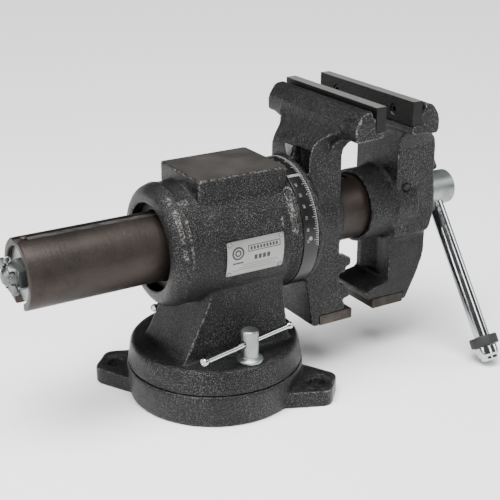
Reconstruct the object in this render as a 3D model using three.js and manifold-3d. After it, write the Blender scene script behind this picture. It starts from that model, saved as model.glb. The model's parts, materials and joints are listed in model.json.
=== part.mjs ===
// Rotating-head bench vise on a swivel base, with pipe jaws under the main jaws.
// Millimetres, +Z up. The origin is the centre of the base on its underside; +X runs along the
// spindle from the rear of the slide tube to the handle, and +Y is to the left of that.
import * as THREE from 'three';
import * as BufferGeometryUtils from 'three/addons/utils/BufferGeometryUtils.js';
import Module from 'manifold-3d';

// ---------- driving dimensions ----------
const GAP = 0.3; // air between touching pieces
const RUN = 0.4; // radial clearance of a running or sliding fit
const AXIS_Z = 158.6; // height of the spindle axis over the bench

// swivel base
const BASE_R = 85;
const BASE_H = 32;
const EAR_T = 16;
const EAR_REACH = 118; // centre of the base to the tip of an ear
const EAR_TIP_W = 38;
const EAR_ROOT_W = 78;
const EAR_HOLE_R = 8.5;
const EAR_HOLE_AT = 101;
const EAR_SPOT_R = 13;
const EAR_SPOT_DEEP = 1.5;
const EAR_ANGLES = [-43, 137];
const SLOT_R = 66; // radius of the T-slot that the clamp bolts run in
const SLOT_NECK_W = 11.5;
const SLOT_WIDE_W = 24;
const SLOT_FLOOR = 7;
const SLOT_WIDE_H = 12;
const PIVOT_R = 15;
const PIVOT_DEEP = 22;

// bores round the slide tube
const TUBE_R = 32.2;
const SLEEVE_WALL = 5.8; // sleeve of the head, from the tube out
const SLEEVE_R = TUBE_R + SLEEVE_WALL;
const MOUTH_STEP = 2.8; // rear mouth of the barrel, wider than the sleeve
const REAR_MOUTH_R = SLEEVE_R + MOUTH_STEP;
const BOSS_WALL = 5.3;
const BOSS_R = TUBE_R + BOSS_WALL;

// turntable, pedestal, barrel and anvil
const TABLE_R = 84;
const TABLE_TOP_R = 80.6;
const TABLE_TOP = 55.7;
const PED_NEAR_Y = 44; // the pedestal reaches further out on the near side
const PED_FAR_Y = 35;
const PED_X0 = -55;
const PED_X1 = 56;
const PED_TOP_X0 = -27;
const PED_TOP_X1 = 51;
const BARREL_R = 57;
const BARREL_X0 = -67;
const BARREL_ROUND = 12; // radius of the rounded rear rim
const FLANGE_R = 62; // front of the barrel and hub of the head, under the dial
const FLARE_X0 = 50.5; // where the barrel starts to widen to the flange
const BARREL_X1 = 76.4;
const ANVIL_X0 = -34.7;
const ANVIL_X1 = 56.7;
const ANVIL_W = 75;
const ANVIL_TOP = 225.4;
const ANVIL_CORNER = 2.5; // radius of its upright corners
const DIAL_W = 15.6;
const DIAL_T = 1.4;
const PLATE_L = 59.4;
const PLATE_H = 34.2;
const PLATE_T = 0.9;
const PLATE_X = 11.5; // middle of the nameplate
const PLATE_UP = -4.1; // and its height over the spindle axis

// slide tube and spindle
const TUBE_WALL = 7;
const TUBE_X0 = -191;
const TUBE_GRIP = 56; // length of tube held in the moving jaw
const KEY_W = 12;
const KEY_DEEP = 2.6;
const SLOT_W = 20;
const SPINDLE_R = 12;
const HEAD_R = 17.9;
const HEAD_X1 = 280;
const HANDLE_R = 8;
const HANDLE_X = 260;
const HANDLE_LEAN = 35.5; // degrees from upright, lower end towards -Y
const HANDLE_REACH = 188; // spindle axis to the lower tip

// jaws
const JAW_W = 150;
const JAW_TOP = 277.8;
const INSERT_T = 11.2;
const INSERT_H = 22.8;
const REST_GAP = 30;
const STATIC_FACE = 139.2; // gripping face of the static insert
const NECK_Y = 33; // half width of the static neck
const MOVING_NECK_Y = 34;
const MOVING_LEG_Y = 27.5;
const SLEEVE_X0 = -50;
const HUB_X0 = 77.4;
const HUB_X1 = 87;
const BOSS_X1 = 125;
const PIPE_FOOT = 52.5; // underside of the pipe jaws
const PAD_H = 10.6;
const FINE = 44; // facets of the barrel and base
const SEG = 34; // facets of other large turned surfaces
const MID = 18; // facets of bolts and rods
const SMALL = 10; // facets of screws and pins

// clamp bolts
const BOLT_Y = 66;
const BOLT_FLANGE_R = 12.5;
const BOLT_FLANGE_H = 4;
const BOLT_HEAD_R = 8.1;
const BOLT_HEAD_TOP = 87;
const BAR_Z = 74;
const BAR_R = 2.7;
const BAR_END_R = 4.1;
const BAR_L = 112;
const NEAR_BAR = { turn: 13.4, shift: -2 }; // degrees from the X axis, and how far off centre
const FAR_BAR = { turn: 24.7, shift: -9.4 };
const BOLT_SHANK_R = 5;

const MOVING_FACE = STATIC_FACE + REST_GAP;
const rad = THREE.MathUtils.degToRad;

// ---------- solids ----------
const wasm = await Module();
wasm.setup();

const materials = {};
function finish(name, color, roughness, metalness) {
  materials[name] = new THREE.MeshStandardMaterial({ color, roughness, metalness });
}
finish('hammertone', 0x24262a, 0.38, 0.35);
finish('ground_steel', 0x5a524d, 0.34, 0.9);
finish('bright_steel', 0xb9b7b2, 0.3, 0.95);
finish('chrome', 0xdfe3e6, 0.12, 1);
finish('zinc', 0xc7cbc8, 0.3, 0.95);
finish('rubber', 0x161617, 0.7, 0);
finish('gloss_black', 0x0c0d0f, 0.25, 0.1);
finish('aluminium', 0xc4c6c8, 0.35, 0.9);
finish('bronze', 0x9b7a45, 0.4, 0.9);

function toSolid(geometry) {
  const bare = geometry.clone();
  bare.deleteAttribute('normal');
  bare.deleteAttribute('uv');
  const merged = BufferGeometryUtils.mergeVertices(bare, 1e-4);
  const points = merged.attributes.position.array;
  const index = merged.index.array;
  let faces = [];
  let volume = 0;
  const at = (i) => new THREE.Vector3(points[3 * i], points[3 * i + 1], points[3 * i + 2]);
  for (let i = 0; i < index.length; i += 3) {
    const [a, b, c] = [index[i], index[i + 1], index[i + 2]];
    if (a === b || b === c || c === a) continue;
    faces.push([a, b, c]);
    volume += at(a).dot(at(b).cross(at(c)));
  }
  if (volume < 0) faces = faces.map(([a, b, c]) => [a, c, b]);
  const mesh = new wasm.Mesh({
    numProp: 3,
    vertProperties: new Float32Array(points),
    triVerts: new Uint32Array(faces.flat()),
  });
  return new wasm.Manifold(mesh);
}

function toGeometry(solid) {
  const { vertProperties, triVerts } = solid.getMesh();
  const geometry = new THREE.BufferGeometry();
  geometry.setAttribute('position', new THREE.BufferAttribute(new Float32Array(vertProperties), 3));
  geometry.setIndex(new THREE.BufferAttribute(new Uint32Array(triVerts), 1));
  geometry.computeVertexNormals();
  return geometry;
}

const vise = new THREE.Group();
function piece(name, solid, material) {
  const mesh = new THREE.Mesh(toGeometry(solid), materials[material]);
  mesh.name = name;
  vise.add(mesh);
}

const join = (first, ...rest) => rest.reduce((sum, next) => sum.add(next), first);
const cut = (first, ...rest) => rest.reduce((left, next) => left.subtract(next), first);

function box(x0, x1, y0, y1, z0, z1) {
  const geometry = new THREE.BoxGeometry(x1 - x0, y1 - y0, z1 - z0);
  geometry.translate((x0 + x1) / 2, (y0 + y1) / 2, (z0 + z1) / 2);
  return toSolid(geometry);
}

// An outline is a list of [u, v] corners; a third value rounds that corner with a radius.
function outlineShape(corners) {
  const shape = new THREE.Shape();
  const count = corners.length;
  corners.forEach(([u, v, r = 0], i) => {
    const here = new THREE.Vector2(u, v);
    const before = new THREE.Vector2(...corners[(i + count - 1) % count].slice(0, 2)).sub(here);
    const after = new THREE.Vector2(...corners[(i + 1) % count].slice(0, 2)).sub(here);
    const back = Math.min(r, before.length() * 0.49, after.length() * 0.49);
    const start = here.clone().addScaledVector(before.normalize(), back);
    const end = here.clone().addScaledVector(after.normalize(), back);
    if (i === 0) shape.moveTo(start.x, start.y);
    else shape.lineTo(start.x, start.y);
    if (back > 0) shape.quadraticCurveTo(here.x, here.y, end.x, end.y);
  });
  shape.closePath();
  return shape;
}

function extruded(corners, depth, curveSegments = 4) {
  const shape = corners instanceof THREE.Shape ? corners : outlineShape(corners);
  return new THREE.ExtrudeGeometry(shape, { depth, bevelEnabled: false, curveSegments });
}

// outline in x and z, extruded along y
function sideSlab(corners, y0, y1) {
  const geometry = extruded(corners, y1 - y0);
  geometry.rotateX(Math.PI / 2);
  geometry.translate(0, y1, 0);
  return toSolid(geometry);
}

// outline in y and z, extruded along x
function frontSlab(corners, x0, x1) {
  const geometry = extruded(corners, x1 - x0);
  const turn = new THREE.Matrix4().makeBasis(
    new THREE.Vector3(0, 1, 0), new THREE.Vector3(0, 0, 1), new THREE.Vector3(1, 0, 0));
  geometry.applyMatrix4(turn);
  geometry.translate(x0, 0, 0);
  return toSolid(geometry);
}

// outline in x and y, extruded along z
function planSlab(corners, z0, z1) {
  const geometry = extruded(corners, z1 - z0);
  geometry.translate(0, 0, z0);
  return toSolid(geometry);
}

// a profile of [radius, place] pairs turned about an axis through `centre`
function turned(profile, axis, centre, segments = SEG) {
  const points = profile.map(([r, a]) => new THREE.Vector2(r, a));
  const geometry = new THREE.LatheGeometry(points, segments);
  if (axis === 'x') geometry.rotateZ(-Math.PI / 2);
  if (axis === 'z') geometry.rotateX(Math.PI / 2);
  geometry.translate(...centre);
  return toSolid(geometry);
}

const onSpindle = [0, 0, AXIS_Z];
function rod(r, a, b, axis, centre, segments = MID) {
  return turned([[0, a], [r, a], [r, b], [0, b]], axis, centre, segments);
}
function ring(inner, outer, a, b, axis, centre, segments = SEG) {
  const profile = [[inner, a], [outer, a], [outer, b], [inner, b], [inner, a]];
  return turned(profile, axis, centre, segments);
}
const mirrored = (solid) => solid.mirror([0, 1, 0]);

function hexPrism(across, a, b, axis, centre) {
  return rod(across / Math.sqrt(3), a, b, axis, centre, 6);
}

// ---------- swivel base ----------
function swivelBase() {
  const chamfer = 2;
  let solid = turned([[0, 0], [BASE_R - 3, 0], [BASE_R - chamfer, chamfer],
    [BASE_R, BASE_H - chamfer], [BASE_R - 1, BASE_H], [0, BASE_H]], 'z', [0, 0, 0], FINE);
  for (const angle of EAR_ANGLES) {
    const tip = EAR_TIP_W / 2;
    const root = EAR_ROOT_W / 2;
    const inside = BASE_R - 25;
    const outline = [
      [inside, -root], [EAR_REACH, -tip, 9], [EAR_REACH, tip, 9], [inside, root],
    ];
    solid = solid.add(planSlab(outline, 0, EAR_T).rotate([0, 0, angle]));
    const spot = rod(EAR_SPOT_R, EAR_T - EAR_SPOT_DEEP, BASE_H, 'z', [EAR_HOLE_AT, 0, 0], MID);
    const hole = rod(EAR_HOLE_R, -1, EAR_T + 1, 'z', [EAR_HOLE_AT, 0, 0], MID);
    solid = cut(solid, spot.rotate([0, 0, angle]), hole.rotate([0, 0, angle]));
  }
  const neck = ring(SLOT_R - SLOT_NECK_W / 2, SLOT_R + SLOT_NECK_W / 2, SLOT_FLOOR + 1, BASE_H + 1,
    'z', [0, 0, 0]);
  const wide = ring(SLOT_R - SLOT_WIDE_W / 2, SLOT_R + SLOT_WIDE_W / 2, SLOT_FLOOR,
    SLOT_FLOOR + SLOT_WIDE_H, 'z', [0, 0, 0]);
  const pivotHole = rod(PIVOT_R, BASE_H - PIVOT_DEEP, BASE_H + 1, 'z', [0, 0, 0], MID);
  // a pocket in the slot wall lets the clamp nuts in
  const gate = box(-13, 13, SLOT_R - SLOT_WIDE_W / 2, SLOT_R + SLOT_WIDE_W / 2, SLOT_FLOOR, BASE_H + 1);
  return cut(solid, neck, wide, pivotHole, gate.rotate([0, 0, 47]));
}

function swivelPin() {
  const top = TABLE_TOP - 12;
  return turned([[0, BASE_H - PIVOT_DEEP + GAP], [PIVOT_R - GAP, BASE_H - PIVOT_DEEP + GAP],
    [PIVOT_R - GAP, top - 1], [PIVOT_R - GAP - 1, top], [0, top]], 'z', [0, 0, 0], MID);
}

// ---------- body: turntable, pedestal, barrel and anvil in one casting ----------
const BODY_BORE_R = SLEEVE_R + RUN;
const DIAL_X0 = BARREL_X1 - DIAL_W;
function bodyCasting() {
  const table = turned([[0, BASE_H + GAP], [TABLE_R - 1, BASE_H + GAP], [TABLE_R, BASE_H + 2],
    [TABLE_TOP_R + 0.6, TABLE_TOP - 2.5], [TABLE_TOP_R - 2, TABLE_TOP], [0, TABLE_TOP]],
  'z', [0, 0, 0], FINE);
  const pedestalSide = sideSlab([[PED_X0 - 3, TABLE_TOP - 2], [PED_X1 + 4, TABLE_TOP - 2],
    [PED_X1, TABLE_TOP + 5, 6], [PED_TOP_X1, AXIS_Z - 50], [PED_TOP_X1, AXIS_Z],
    [PED_TOP_X0, AXIS_Z], [PED_TOP_X0, AXIS_Z - 46, 12], [PED_X0, TABLE_TOP + 4, 4]], -60, 60);
  const pedestalFront = frontSlab([[-PED_NEAR_Y - 3, TABLE_TOP - 2], [PED_FAR_Y + 3, TABLE_TOP - 2],
    [PED_FAR_Y, TABLE_TOP + 4, 5], [PED_FAR_Y - 2, AXIS_Z], [-PED_NEAR_Y + 2, AXIS_Z],
    [-PED_NEAR_Y, TABLE_TOP + 4, 5]], -80, 80);
  const pedestal = pedestalSide.intersect(pedestalFront);
  const rim = [15, 35, 55, 75].map((angle) => [
    BARREL_R - BARREL_ROUND * (1 - Math.sin(rad(angle))),
    BARREL_X0 + BARREL_ROUND * (1 - Math.cos(rad(angle))),
  ]);
  const ridge = BARREL_X0 + BARREL_ROUND; // a low ridge just ahead of the rounded rim
  const barrel = turned([[0, BARREL_X0], [REAR_MOUTH_R + 2, BARREL_X0], ...rim,
    [BARREL_R, ridge], [BARREL_R + 0.9, ridge + 1], [BARREL_R + 0.9, ridge + 2.5],
    [BARREL_R, ridge + 4], [BARREL_R, FLARE_X0], [BARREL_R + 1.2, FLARE_X0 + 3],
    [FLANGE_R - 0.6, DIAL_X0 - 2], [FLANGE_R, DIAL_X0 - 1], [FLANGE_R - 0.4, DIAL_X0 - GAP],
    [FLANGE_R - DIAL_T - GAP, DIAL_X0 - GAP], [FLANGE_R - DIAL_T - GAP, BARREL_X1],
    [0, BARREL_X1]], 'x', onSpindle, FINE);
  const anvilHalf = ANVIL_W / 2;
  const anvil = sideSlab([[ANVIL_X0, AXIS_Z], [ANVIL_X1, AXIS_Z], [ANVIL_X1, ANVIL_TOP, 1.5],
    [ANVIL_X0, ANVIL_TOP, 1.5]], -anvilHalf, anvilHalf).intersect(planSlab(
    [[ANVIL_X0, -anvilHalf, ANVIL_CORNER], [ANVIL_X1, -anvilHalf, ANVIL_CORNER],
      [ANVIL_X1, anvilHalf, ANVIL_CORNER], [ANVIL_X0, anvilHalf, ANVIL_CORNER]], AXIS_Z, ANVIL_TOP + 1));
  const lockBoss = rod(13, 0, LOCK_BOSS_Y, 'y', [HEAD_LOCK_X, 0, AXIS_Z], MID);
  let solid = join(table, pedestal, barrel, anvil, lockBoss);

  const bore = rod(BODY_BORE_R, BARREL_X0 - 1, BARREL_X1 + 1, 'x', onSpindle, SEG);
  const mouth = rod(REAR_MOUTH_R, BARREL_X0 - 1, SLEEVE_X0, 'x', onSpindle, SEG);
  const shoe = rod(SHOE_R + GAP, 0, LOCK_BOSS_Y - 3, 'y', [HEAD_LOCK_X, 0, AXIS_Z], SMALL);
  const lockHole = rod(HEAD_LOCK_SHANK_R + GAP, 0, LOCK_BOSS_Y + 1, 'y', [HEAD_LOCK_X, 0, AXIS_Z], SMALL);
  const pinHole = rod(PIVOT_R + GAP, BASE_H - 1, TABLE_TOP - 12 + 1, 'z', [0, 0, 0], MID);
  const boltHole = rod(BOLT_SHANK_R + GAP, BASE_H - 1, TABLE_TOP + 1, 'z', [0, -BOLT_Y, 0], SMALL);
  solid = cut(solid, bore, mouth, shoe, lockHole, pinHole, boltHole, mirrored(boltHole));
  // core pockets inside the pedestal, open through the underside on both sides of the pivot
  const wall = 9;
  const roof = AXIS_Z - BARREL_R - wall;
  return cut(solid, box(-34, 36, 1 - PED_NEAR_Y + wall, -21, BASE_H - 1, roof),
    box(-30, 32, 19, PED_FAR_Y - wall, BASE_H - 1, roof));
}

function dialBand() {
  return ring(FLANGE_R - DIAL_T, FLANGE_R + 0.3, DIAL_X0, BARREL_X1, 'x', onSpindle, FINE);
}

// A curved plate on the near side of the barrel.
function nameplate() {
  const shell = ring(BARREL_R + GAP, BARREL_R + GAP + PLATE_T, PLATE_X - PLATE_L / 2,
    PLATE_X + PLATE_L / 2, 'x', onSpindle, 2 * SEG);
  const middle = AXIS_Z + PLATE_UP;
  const window = box(-100, 100, -100, 0, middle - PLATE_H / 2, middle + PLATE_H / 2);
  return cut(shell.intersect(window), ...rivetPlaces().map((place) => rivetHole(place)));
}
const RIVET_R = 1.1;
const RIVET_INSET = 3;
function rivetPlaces() {
  const places = [];
  for (const end of [-1, 1]) {
    for (const level of [-1, 1]) {
      const height = level * (PLATE_H / 2 - RIVET_INSET) + PLATE_UP;
      places.push([PLATE_X + end * (PLATE_L / 2 - RIVET_INSET), height]);
    }
  }
  return places;
}
function radialPin(r, a, b, [x, height], segments) {
  const tilt = THREE.MathUtils.radToDeg(Math.asin(height / BARREL_R));
  const pin = rod(r, a, b, 'y', [0, 0, 0], segments);
  return pin.rotate([180 - tilt, 0, 0]).translate([x, 0, AXIS_Z]);
}
const rivetHole = (place) => radialPin(RIVET_R, BARREL_R - 1, BARREL_R + 5, place, SMALL);
function rivet(place) {
  const shank = radialPin(RIVET_R - GAP, BARREL_R + GAP, BARREL_R + 2, place, SMALL);
  const head = radialPin(2, BARREL_R + PLATE_T + 2 * GAP, BARREL_R + PLATE_T + 1.5, place, SMALL);
  return shank.add(head);
}

// ---------- head lock on the far side of the barrel ----------
const HEAD_LOCK_X = 6;
const SHOE_R = 8;
const HEAD_LOCK_SHANK_R = 5;
const LOCK_BOSS_Y = BARREL_R + 11; // face of the boss that the lock screw seats on
function brakeShoe() {
  const block = rod(SHOE_R, 0, BODY_BORE_R + 8, 'y', [HEAD_LOCK_X, 0, AXIS_Z], SMALL);
  const sleeveSide = rod(SLEEVE_R + GAP, HEAD_LOCK_X - 20, HEAD_LOCK_X + 20, 'x', onSpindle, SEG);
  return block.subtract(sleeveSide);
}
function headLockScrew() {
  const y = LOCK_BOSS_Y;
  const solid = turned([[0, BODY_BORE_R + 8 + GAP], [HEAD_LOCK_SHANK_R, BODY_BORE_R + 8 + GAP],
    [HEAD_LOCK_SHANK_R, y + GAP], [11, y + GAP], [11, y + 3.5], [7.2, y + 4.5], [7.2, y + 23],
    [6, y + 24], [0, y + 24]], 'y', [HEAD_LOCK_X, 0, AXIS_Z], MID);
  return solid.subtract(rod(BAR_R + GAP, -20, 20, 'z', [HEAD_LOCK_X, HEAD_BAR_Y, AXIS_Z], SMALL));
}
const HEAD_BAR_Y = LOCK_BOSS_Y + 14;
const HEAD_BAR_L = 80;
function swagedBar(length) {
  const half = length / 2;
  return turned([[0, -half], [BAR_END_R - 1, -half], [BAR_END_R, -half + 1.4],
    [BAR_END_R, -half + 4], [BAR_R, -half + 6.5], [BAR_R, half - 6.5], [BAR_END_R, half - 4],
    [BAR_END_R, half - 1.4], [BAR_END_R - 1, half], [0, half]], 'x', [0, 0, 0], SMALL);
}
function headLockBar() {
  return swagedBar(HEAD_BAR_L).rotate([0, 90, 0]).translate([HEAD_LOCK_X, HEAD_BAR_Y, AXIS_Z]);
}

// ---------- clamp bolts of the swivel base ----------
function clampBolt({ turn }) {
  const seat = TABLE_TOP + GAP;
  const solid = turned([[0, SLOT_FLOOR + 2], [BOLT_SHANK_R, SLOT_FLOOR + 2], [BOLT_SHANK_R, seat],
    [BOLT_FLANGE_R - 0.6, seat], [BOLT_FLANGE_R, seat + 0.6],
    [BOLT_FLANGE_R, seat + BOLT_FLANGE_H - 1], [BOLT_FLANGE_R - 1, seat + BOLT_FLANGE_H],
    [BOLT_HEAD_R, seat + BOLT_FLANGE_H + 0.6], [BOLT_HEAD_R, BOLT_HEAD_TOP - 1.2],
    [BOLT_HEAD_R - 1.2, BOLT_HEAD_TOP], [0, BOLT_HEAD_TOP]], 'z', [0, 0, 0], MID);
  const cross = rod(BAR_R + GAP, -20, 20, 'x', [0, 0, BAR_Z], SMALL);
  return solid.subtract(cross).rotate([0, 0, turn]).translate([0, -BOLT_Y, 0]);
}
function clampBar({ turn, shift }) {
  const bar = swagedBar(BAR_L).translate([shift, 0, 0]);
  return bar.rotate([0, 0, turn]).translate([0, -BOLT_Y, BAR_Z]);
}
function clampNut() {
  const half = SLOT_WIDE_W / 2 - 1.2;
  const body = box(-13, 13, -half, half, SLOT_FLOOR + GAP, SLOT_FLOOR + SLOT_WIDE_H - 1);
  const round = ring(SLOT_R - half, SLOT_R + half, 0, 40, 'z', [0, SLOT_R, 0]);
  const hole = rod(BOLT_SHANK_R + GAP, 0, 40, 'z', [0, 0, 0], SMALL);
  return body.intersect(round).subtract(hole).translate([0, -BOLT_Y, 0]);
}
const opposite = (solid) => solid.rotate([0, 0, 180]);

// ---------- static jaw ----------
const CAST_FACE = STATIC_FACE - INSERT_T - GAP; // seat of the static insert
const INSERT_LOW = JAW_TOP - INSERT_H;
const STEP_Z = INSERT_LOW - GAP;
const TUBE_BORE_R = TUBE_R + RUN;
const PAD_X0 = 100.4;
function jawBlock(back, face, low) {
  // a full-width bar under and behind the insert; `back` is the rear face, `face` the seat
  const into = Math.sign(face - back);
  const half = JAW_W / 2;
  const outline = [[face + into * (INSERT_T - 1), low + 2, 2], [back, low, 5],
    [back, JAW_TOP - 16, 5], [back + into * 8, JAW_TOP - 4.5, 3], [face - into * 4, JAW_TOP - 3, 1],
    [face - into * 3, JAW_TOP - 9], [face, JAW_TOP - 10], [face, STEP_Z],
    [face + into * (INSERT_T - 1), STEP_Z, 1]];
  return sideSlab(outline, -half, half);
}
// Front view of a jaw: wide at the top, drawn in to the neck by two hollow gussets.
function gussetOutline(neck, top, reach, floor) {
  const shape = new THREE.Shape();
  const low = top - (reach - neck) * 0.85;
  shape.moveTo(-neck, floor);
  shape.lineTo(neck, floor);
  shape.lineTo(neck, low);
  shape.quadraticCurveTo(neck + 1, top - 5, reach, top);
  shape.lineTo(reach, top + 18);
  shape.lineTo(-reach, top + 18);
  shape.lineTo(-reach, top);
  shape.quadraticCurveTo(-neck - 1, top - 5, -neck, low);
  shape.closePath();
  return shape;
}
function legTeeth() {
  const f = STATIC_FACE;
  return [[f - 17, AXIS_Z - 36], [f - 3.4, AXIS_Z - 40.5, 1], [f - 3.2, AXIS_Z - 48.2, 1],
    [f - 8.8, AXIS_Z - 49.6], [f - 8.8, AXIS_Z - 55], [f - 16, AXIS_Z - 55.5],
    [f - 15.8, AXIS_Z - 66.8], [f - 10.6, AXIS_Z - 67.4], [f - 3.2, AXIS_Z - 74.5, 1],
    [f - 3.2, AXIS_Z - 82, 1], [f - 11.8, AXIS_Z - 84.4], [f - 8.8, AXIS_Z - 88.5],
    [f - 8.8, PIPE_FOOT + PAD_H + GAP]];
}
function staticJaw() {
  const block = jawBlock(106, CAST_FACE, 246.5);
  const neckSide = sideSlab([[NECK_REAR, AXIS_Z], [121.2, AXIS_Z], [121.2, 232, 8], [CAST_FACE, 248, 4],
    [CAST_FACE, 262], [106, 263], [104.5, 253, 8], [NECK_REAR, 234, 12]], -JAW_W / 2, JAW_W / 2);
  const neckRear = frontSlab(gussetOutline(NECK_Y, 251, 49, AXIS_Z), 70, 107);
  const neckFront = frontSlab(gussetOutline(NECK_Y, 247, 62, AXIS_Z), 106.5, 140);
  const neck = neckSide.intersect(neckRear.add(neckFront));
  const hub = turned([[0, HUB_X0], [FLANGE_R - 0.8, HUB_X0], [FLANGE_R, HUB_X0 + 0.8],
    [FLANGE_R, HUB_X1 - 5], [FLANGE_R - 2.5, HUB_X1 - 1.5], [FLANGE_R - 8, HUB_X1], [0, HUB_X1]],
  'x', onSpindle, FINE);
  const boss = turned([[0, HUB_X1 - 3], [BOSS_R + 9, HUB_X1 - 3], [BOSS_R + 3, HUB_X1 + 5],
    [BOSS_R + 1, HUB_X1 + 14], [BOSS_R, BOSS_X1 - 2], [BOSS_R - 2, BOSS_X1], [0, BOSS_X1]],
  'x', onSpindle, SEG);
  const legSide = sideSlab([...legTeeth(), [PAD_X0 - GAP, PIPE_FOOT + PAD_H + GAP],
    [PAD_X0 - GAP, PIPE_FOOT], [92, PIPE_FOOT + 1, 2], [86, 89, 3], [NECK_REAR, 104, 6], [NECK_REAR, AXIS_Z],
    [STATIC_FACE - 17, AXIS_Z]], -NECK_Y, NECK_Y);
  // between the two toothed cheeks the web is set back in a V
  const cheek = 14;
  const web = planSlab([[170, -NECK_Y + cheek], [170, NECK_Y - cheek], [121, NECK_Y - cheek],
    [115, 0], [121, -NECK_Y + cheek]], PIPE_FOOT + PAD_H + 4, AXIS_Z - 34);
  const leg = legSide.subtract(web);
  const sleeve = rod(SLEEVE_R, SLEEVE_X0, HUB_X1, 'x', onSpindle, SEG);
  let solid = join(block, neck.subtract(pointerPocket()), hub, boss, leg, sleeve);
  const bore = rod(TUBE_BORE_R, SLEEVE_X0 - 1, BOSS_X1 + 1, 'x', onSpindle, SEG);
  const keySeat = box(KEY_X0 - GAP, KEY_X1 + GAP, -KEY_W / 2 - GAP, KEY_W / 2 + GAP,
    AXIS_Z, AXIS_Z + SLEEVE_R - 1.2);
  const nutSeat = box(NUT_X0 - GAP, NUT_X1 + GAP, -NUT_FOOT_W / 2 - GAP, NUT_FOOT_W / 2 + GAP,
    AXIS_Z - TUBE_BORE_R - 3, AXIS_Z);
  const nutBolt = rod(4 + GAP, 60, AXIS_Z, 'z', [(NUT_X0 + NUT_X1) / 2, 0, 0], SMALL);
  solid = cut(solid, bore, keySeat, nutSeat, nutBolt);
  const counter = rod(7.5, PIPE_FOOT - 1, NUT_BOLT_SEAT, 'z', [(NUT_X0 + NUT_X1) / 2, 0, 0], SMALL);
  solid = solid.subtract(counter);
  for (const y of INSERT_SCREW_Y) {
    solid = solid.subtract(rod(3 + GAP, CAST_FACE - 13, CAST_FACE + 1, 'x', [0, y, INSERT_SCREW_Z], SMALL));
  }
  return solid.subtract(padScrewHole(STATIC_PAD_X));
}

// Beside the dial pointer the rear of the neck is hollowed out, down to the hub flange.
const POINTER_TOP = 232.6;
const POINTER_LOW = AXIS_Z + FLANGE_R + 0.8;
const POINTER_TOP_W = 12.4;
const POINTER_TIP_W = 5.4;
const POINTER_T = 1.4;
const NECK_REAR = 84;
function pointerPocket() {
  const edge = -POINTER_TOP_W / 2;
  return box(NECK_REAR - 5, NECK_REAR + 10, -NECK_Y + 1.5, edge, AXIS_Z + 40, POINTER_TOP);
}
function dialPointer() {
  const [top, tip] = [POINTER_TOP_W / 2, POINTER_TIP_W / 2];
  return frontSlab([[-tip, POINTER_LOW], [tip, POINTER_LOW], [top, POINTER_TOP], [-top, POINTER_TOP]],
    NECK_REAR - GAP - POINTER_T, NECK_REAR - GAP);
}

const NECK_RING_T = 7;
function neckRing() {
  const x1 = SLEEVE_X0 - GAP;
  let solid = ring(TUBE_R + 1.2, REAR_MOUTH_R - RUN, x1 - NECK_RING_T, x1, 'x', onSpindle, SEG);
  for (const angle of [0, 90, 180, 270]) {
    const notch = box(x1 - NECK_RING_T - 1, x1 - NECK_RING_T + 3, -3, 3, 37.2, 45);
    solid = solid.subtract(notch.rotate([angle + 25, 0, 0]).translate(onSpindle));
  }
  return solid;
}

const KEY_X0 = -38;
const KEY_X1 = -2;
function tubeKey() {
  const foot = AXIS_Z + TUBE_R - KEY_DEEP + GAP;
  const top = AXIS_Z + SLEEVE_R - 1.2 - GAP;
  const side = KEY_W / 2 - RUN;
  return box(KEY_X0, KEY_X1, -side, side, foot, top);
}

const NUT_X0 = 88;
const NUT_X1 = 118;
const NUT_FOOT_W = 15;
const NUT_BOLT_SEAT = AXIS_Z - 56;
function spindleNut() {
  const barrel = rod(TUBE_R - TUBE_WALL - 1.5, NUT_X0, NUT_X1, 'x', onSpindle, MID);
  const foot = box(NUT_X0, NUT_X1, -NUT_FOOT_W / 2, NUT_FOOT_W / 2,
    AXIS_Z - TUBE_BORE_R - 2.6, AXIS_Z - 10);
  const thread = rod(SPINDLE_R + GAP, NUT_X0 - 1, NUT_X1 + 1, 'x', onSpindle, MID);
  const tapped = rod(4 + GAP, 60, AXIS_Z, 'z', [(NUT_X0 + NUT_X1) / 2, 0, 0], SMALL);
  return cut(barrel.add(foot), thread, tapped);
}
function nutBolt() {
  const centre = [(NUT_X0 + NUT_X1) / 2, 0, 0];
  const head = hexPrism(12, NUT_BOLT_SEAT - 7, NUT_BOLT_SEAT - GAP, 'z', centre);
  return head.add(rod(4, NUT_BOLT_SEAT - 3, AXIS_Z - SPINDLE_R - 4, 'z', centre, SMALL));
}

const INSERT_SCREW_Y = [-46, 46];
const INSERT_SCREW_Z = JAW_TOP - 12.5;
const SCREW_HEAD_R = 5.2;
const SCREW_HEAD_DEEP = 5;
// A jaw insert lies between `x0` and `x1`; `front` is its gripping side, +1 or -1.
function insert(x0, x1, front) {
  const half = JAW_W / 2 - 0.4;
  const bevel = 0.8;
  const outline = [[x0, INSERT_LOW, bevel], [x1, INSERT_LOW, bevel], [x1, JAW_TOP, bevel],
    [x0, JAW_TOP, bevel]];
  let solid = sideSlab(outline, -half, half);
  const face = front > 0 ? x1 : x0;
  for (const y of INSERT_SCREW_Y) {
    const centre = [0, y, INSERT_SCREW_Z];
    const [a, b] = [face - front * (SCREW_HEAD_DEEP + GAP), face + front].sort((p, q) => p - q);
    solid = solid.subtract(rod(SCREW_HEAD_R + GAP, a, b, 'x', centre, SMALL));
    solid = solid.subtract(rod(3 + GAP, x0 - 1, x1 + 1, 'x', centre, SMALL));
  }
  return solid;
}
function insertScrew(face, front, y) {
  const centre = [0, y, INSERT_SCREW_Z];
  const top = face - front * 1.2;
  const under = face - front * SCREW_HEAD_DEEP;
  const end = face - front * (INSERT_T + 10);
  const span = (p, q) => [Math.min(p, q), Math.max(p, q)];
  const head = rod(SCREW_HEAD_R, ...span(top, under), 'x', centre, SMALL);
  const socket = hexPrism(5, ...span(top + front, top - front * 2.4), 'x', centre);
  const shank = rod(3, ...span(under + front * 0.5, end), 'x', centre, SMALL);
  return cut(head, socket).add(shank);
}

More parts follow.
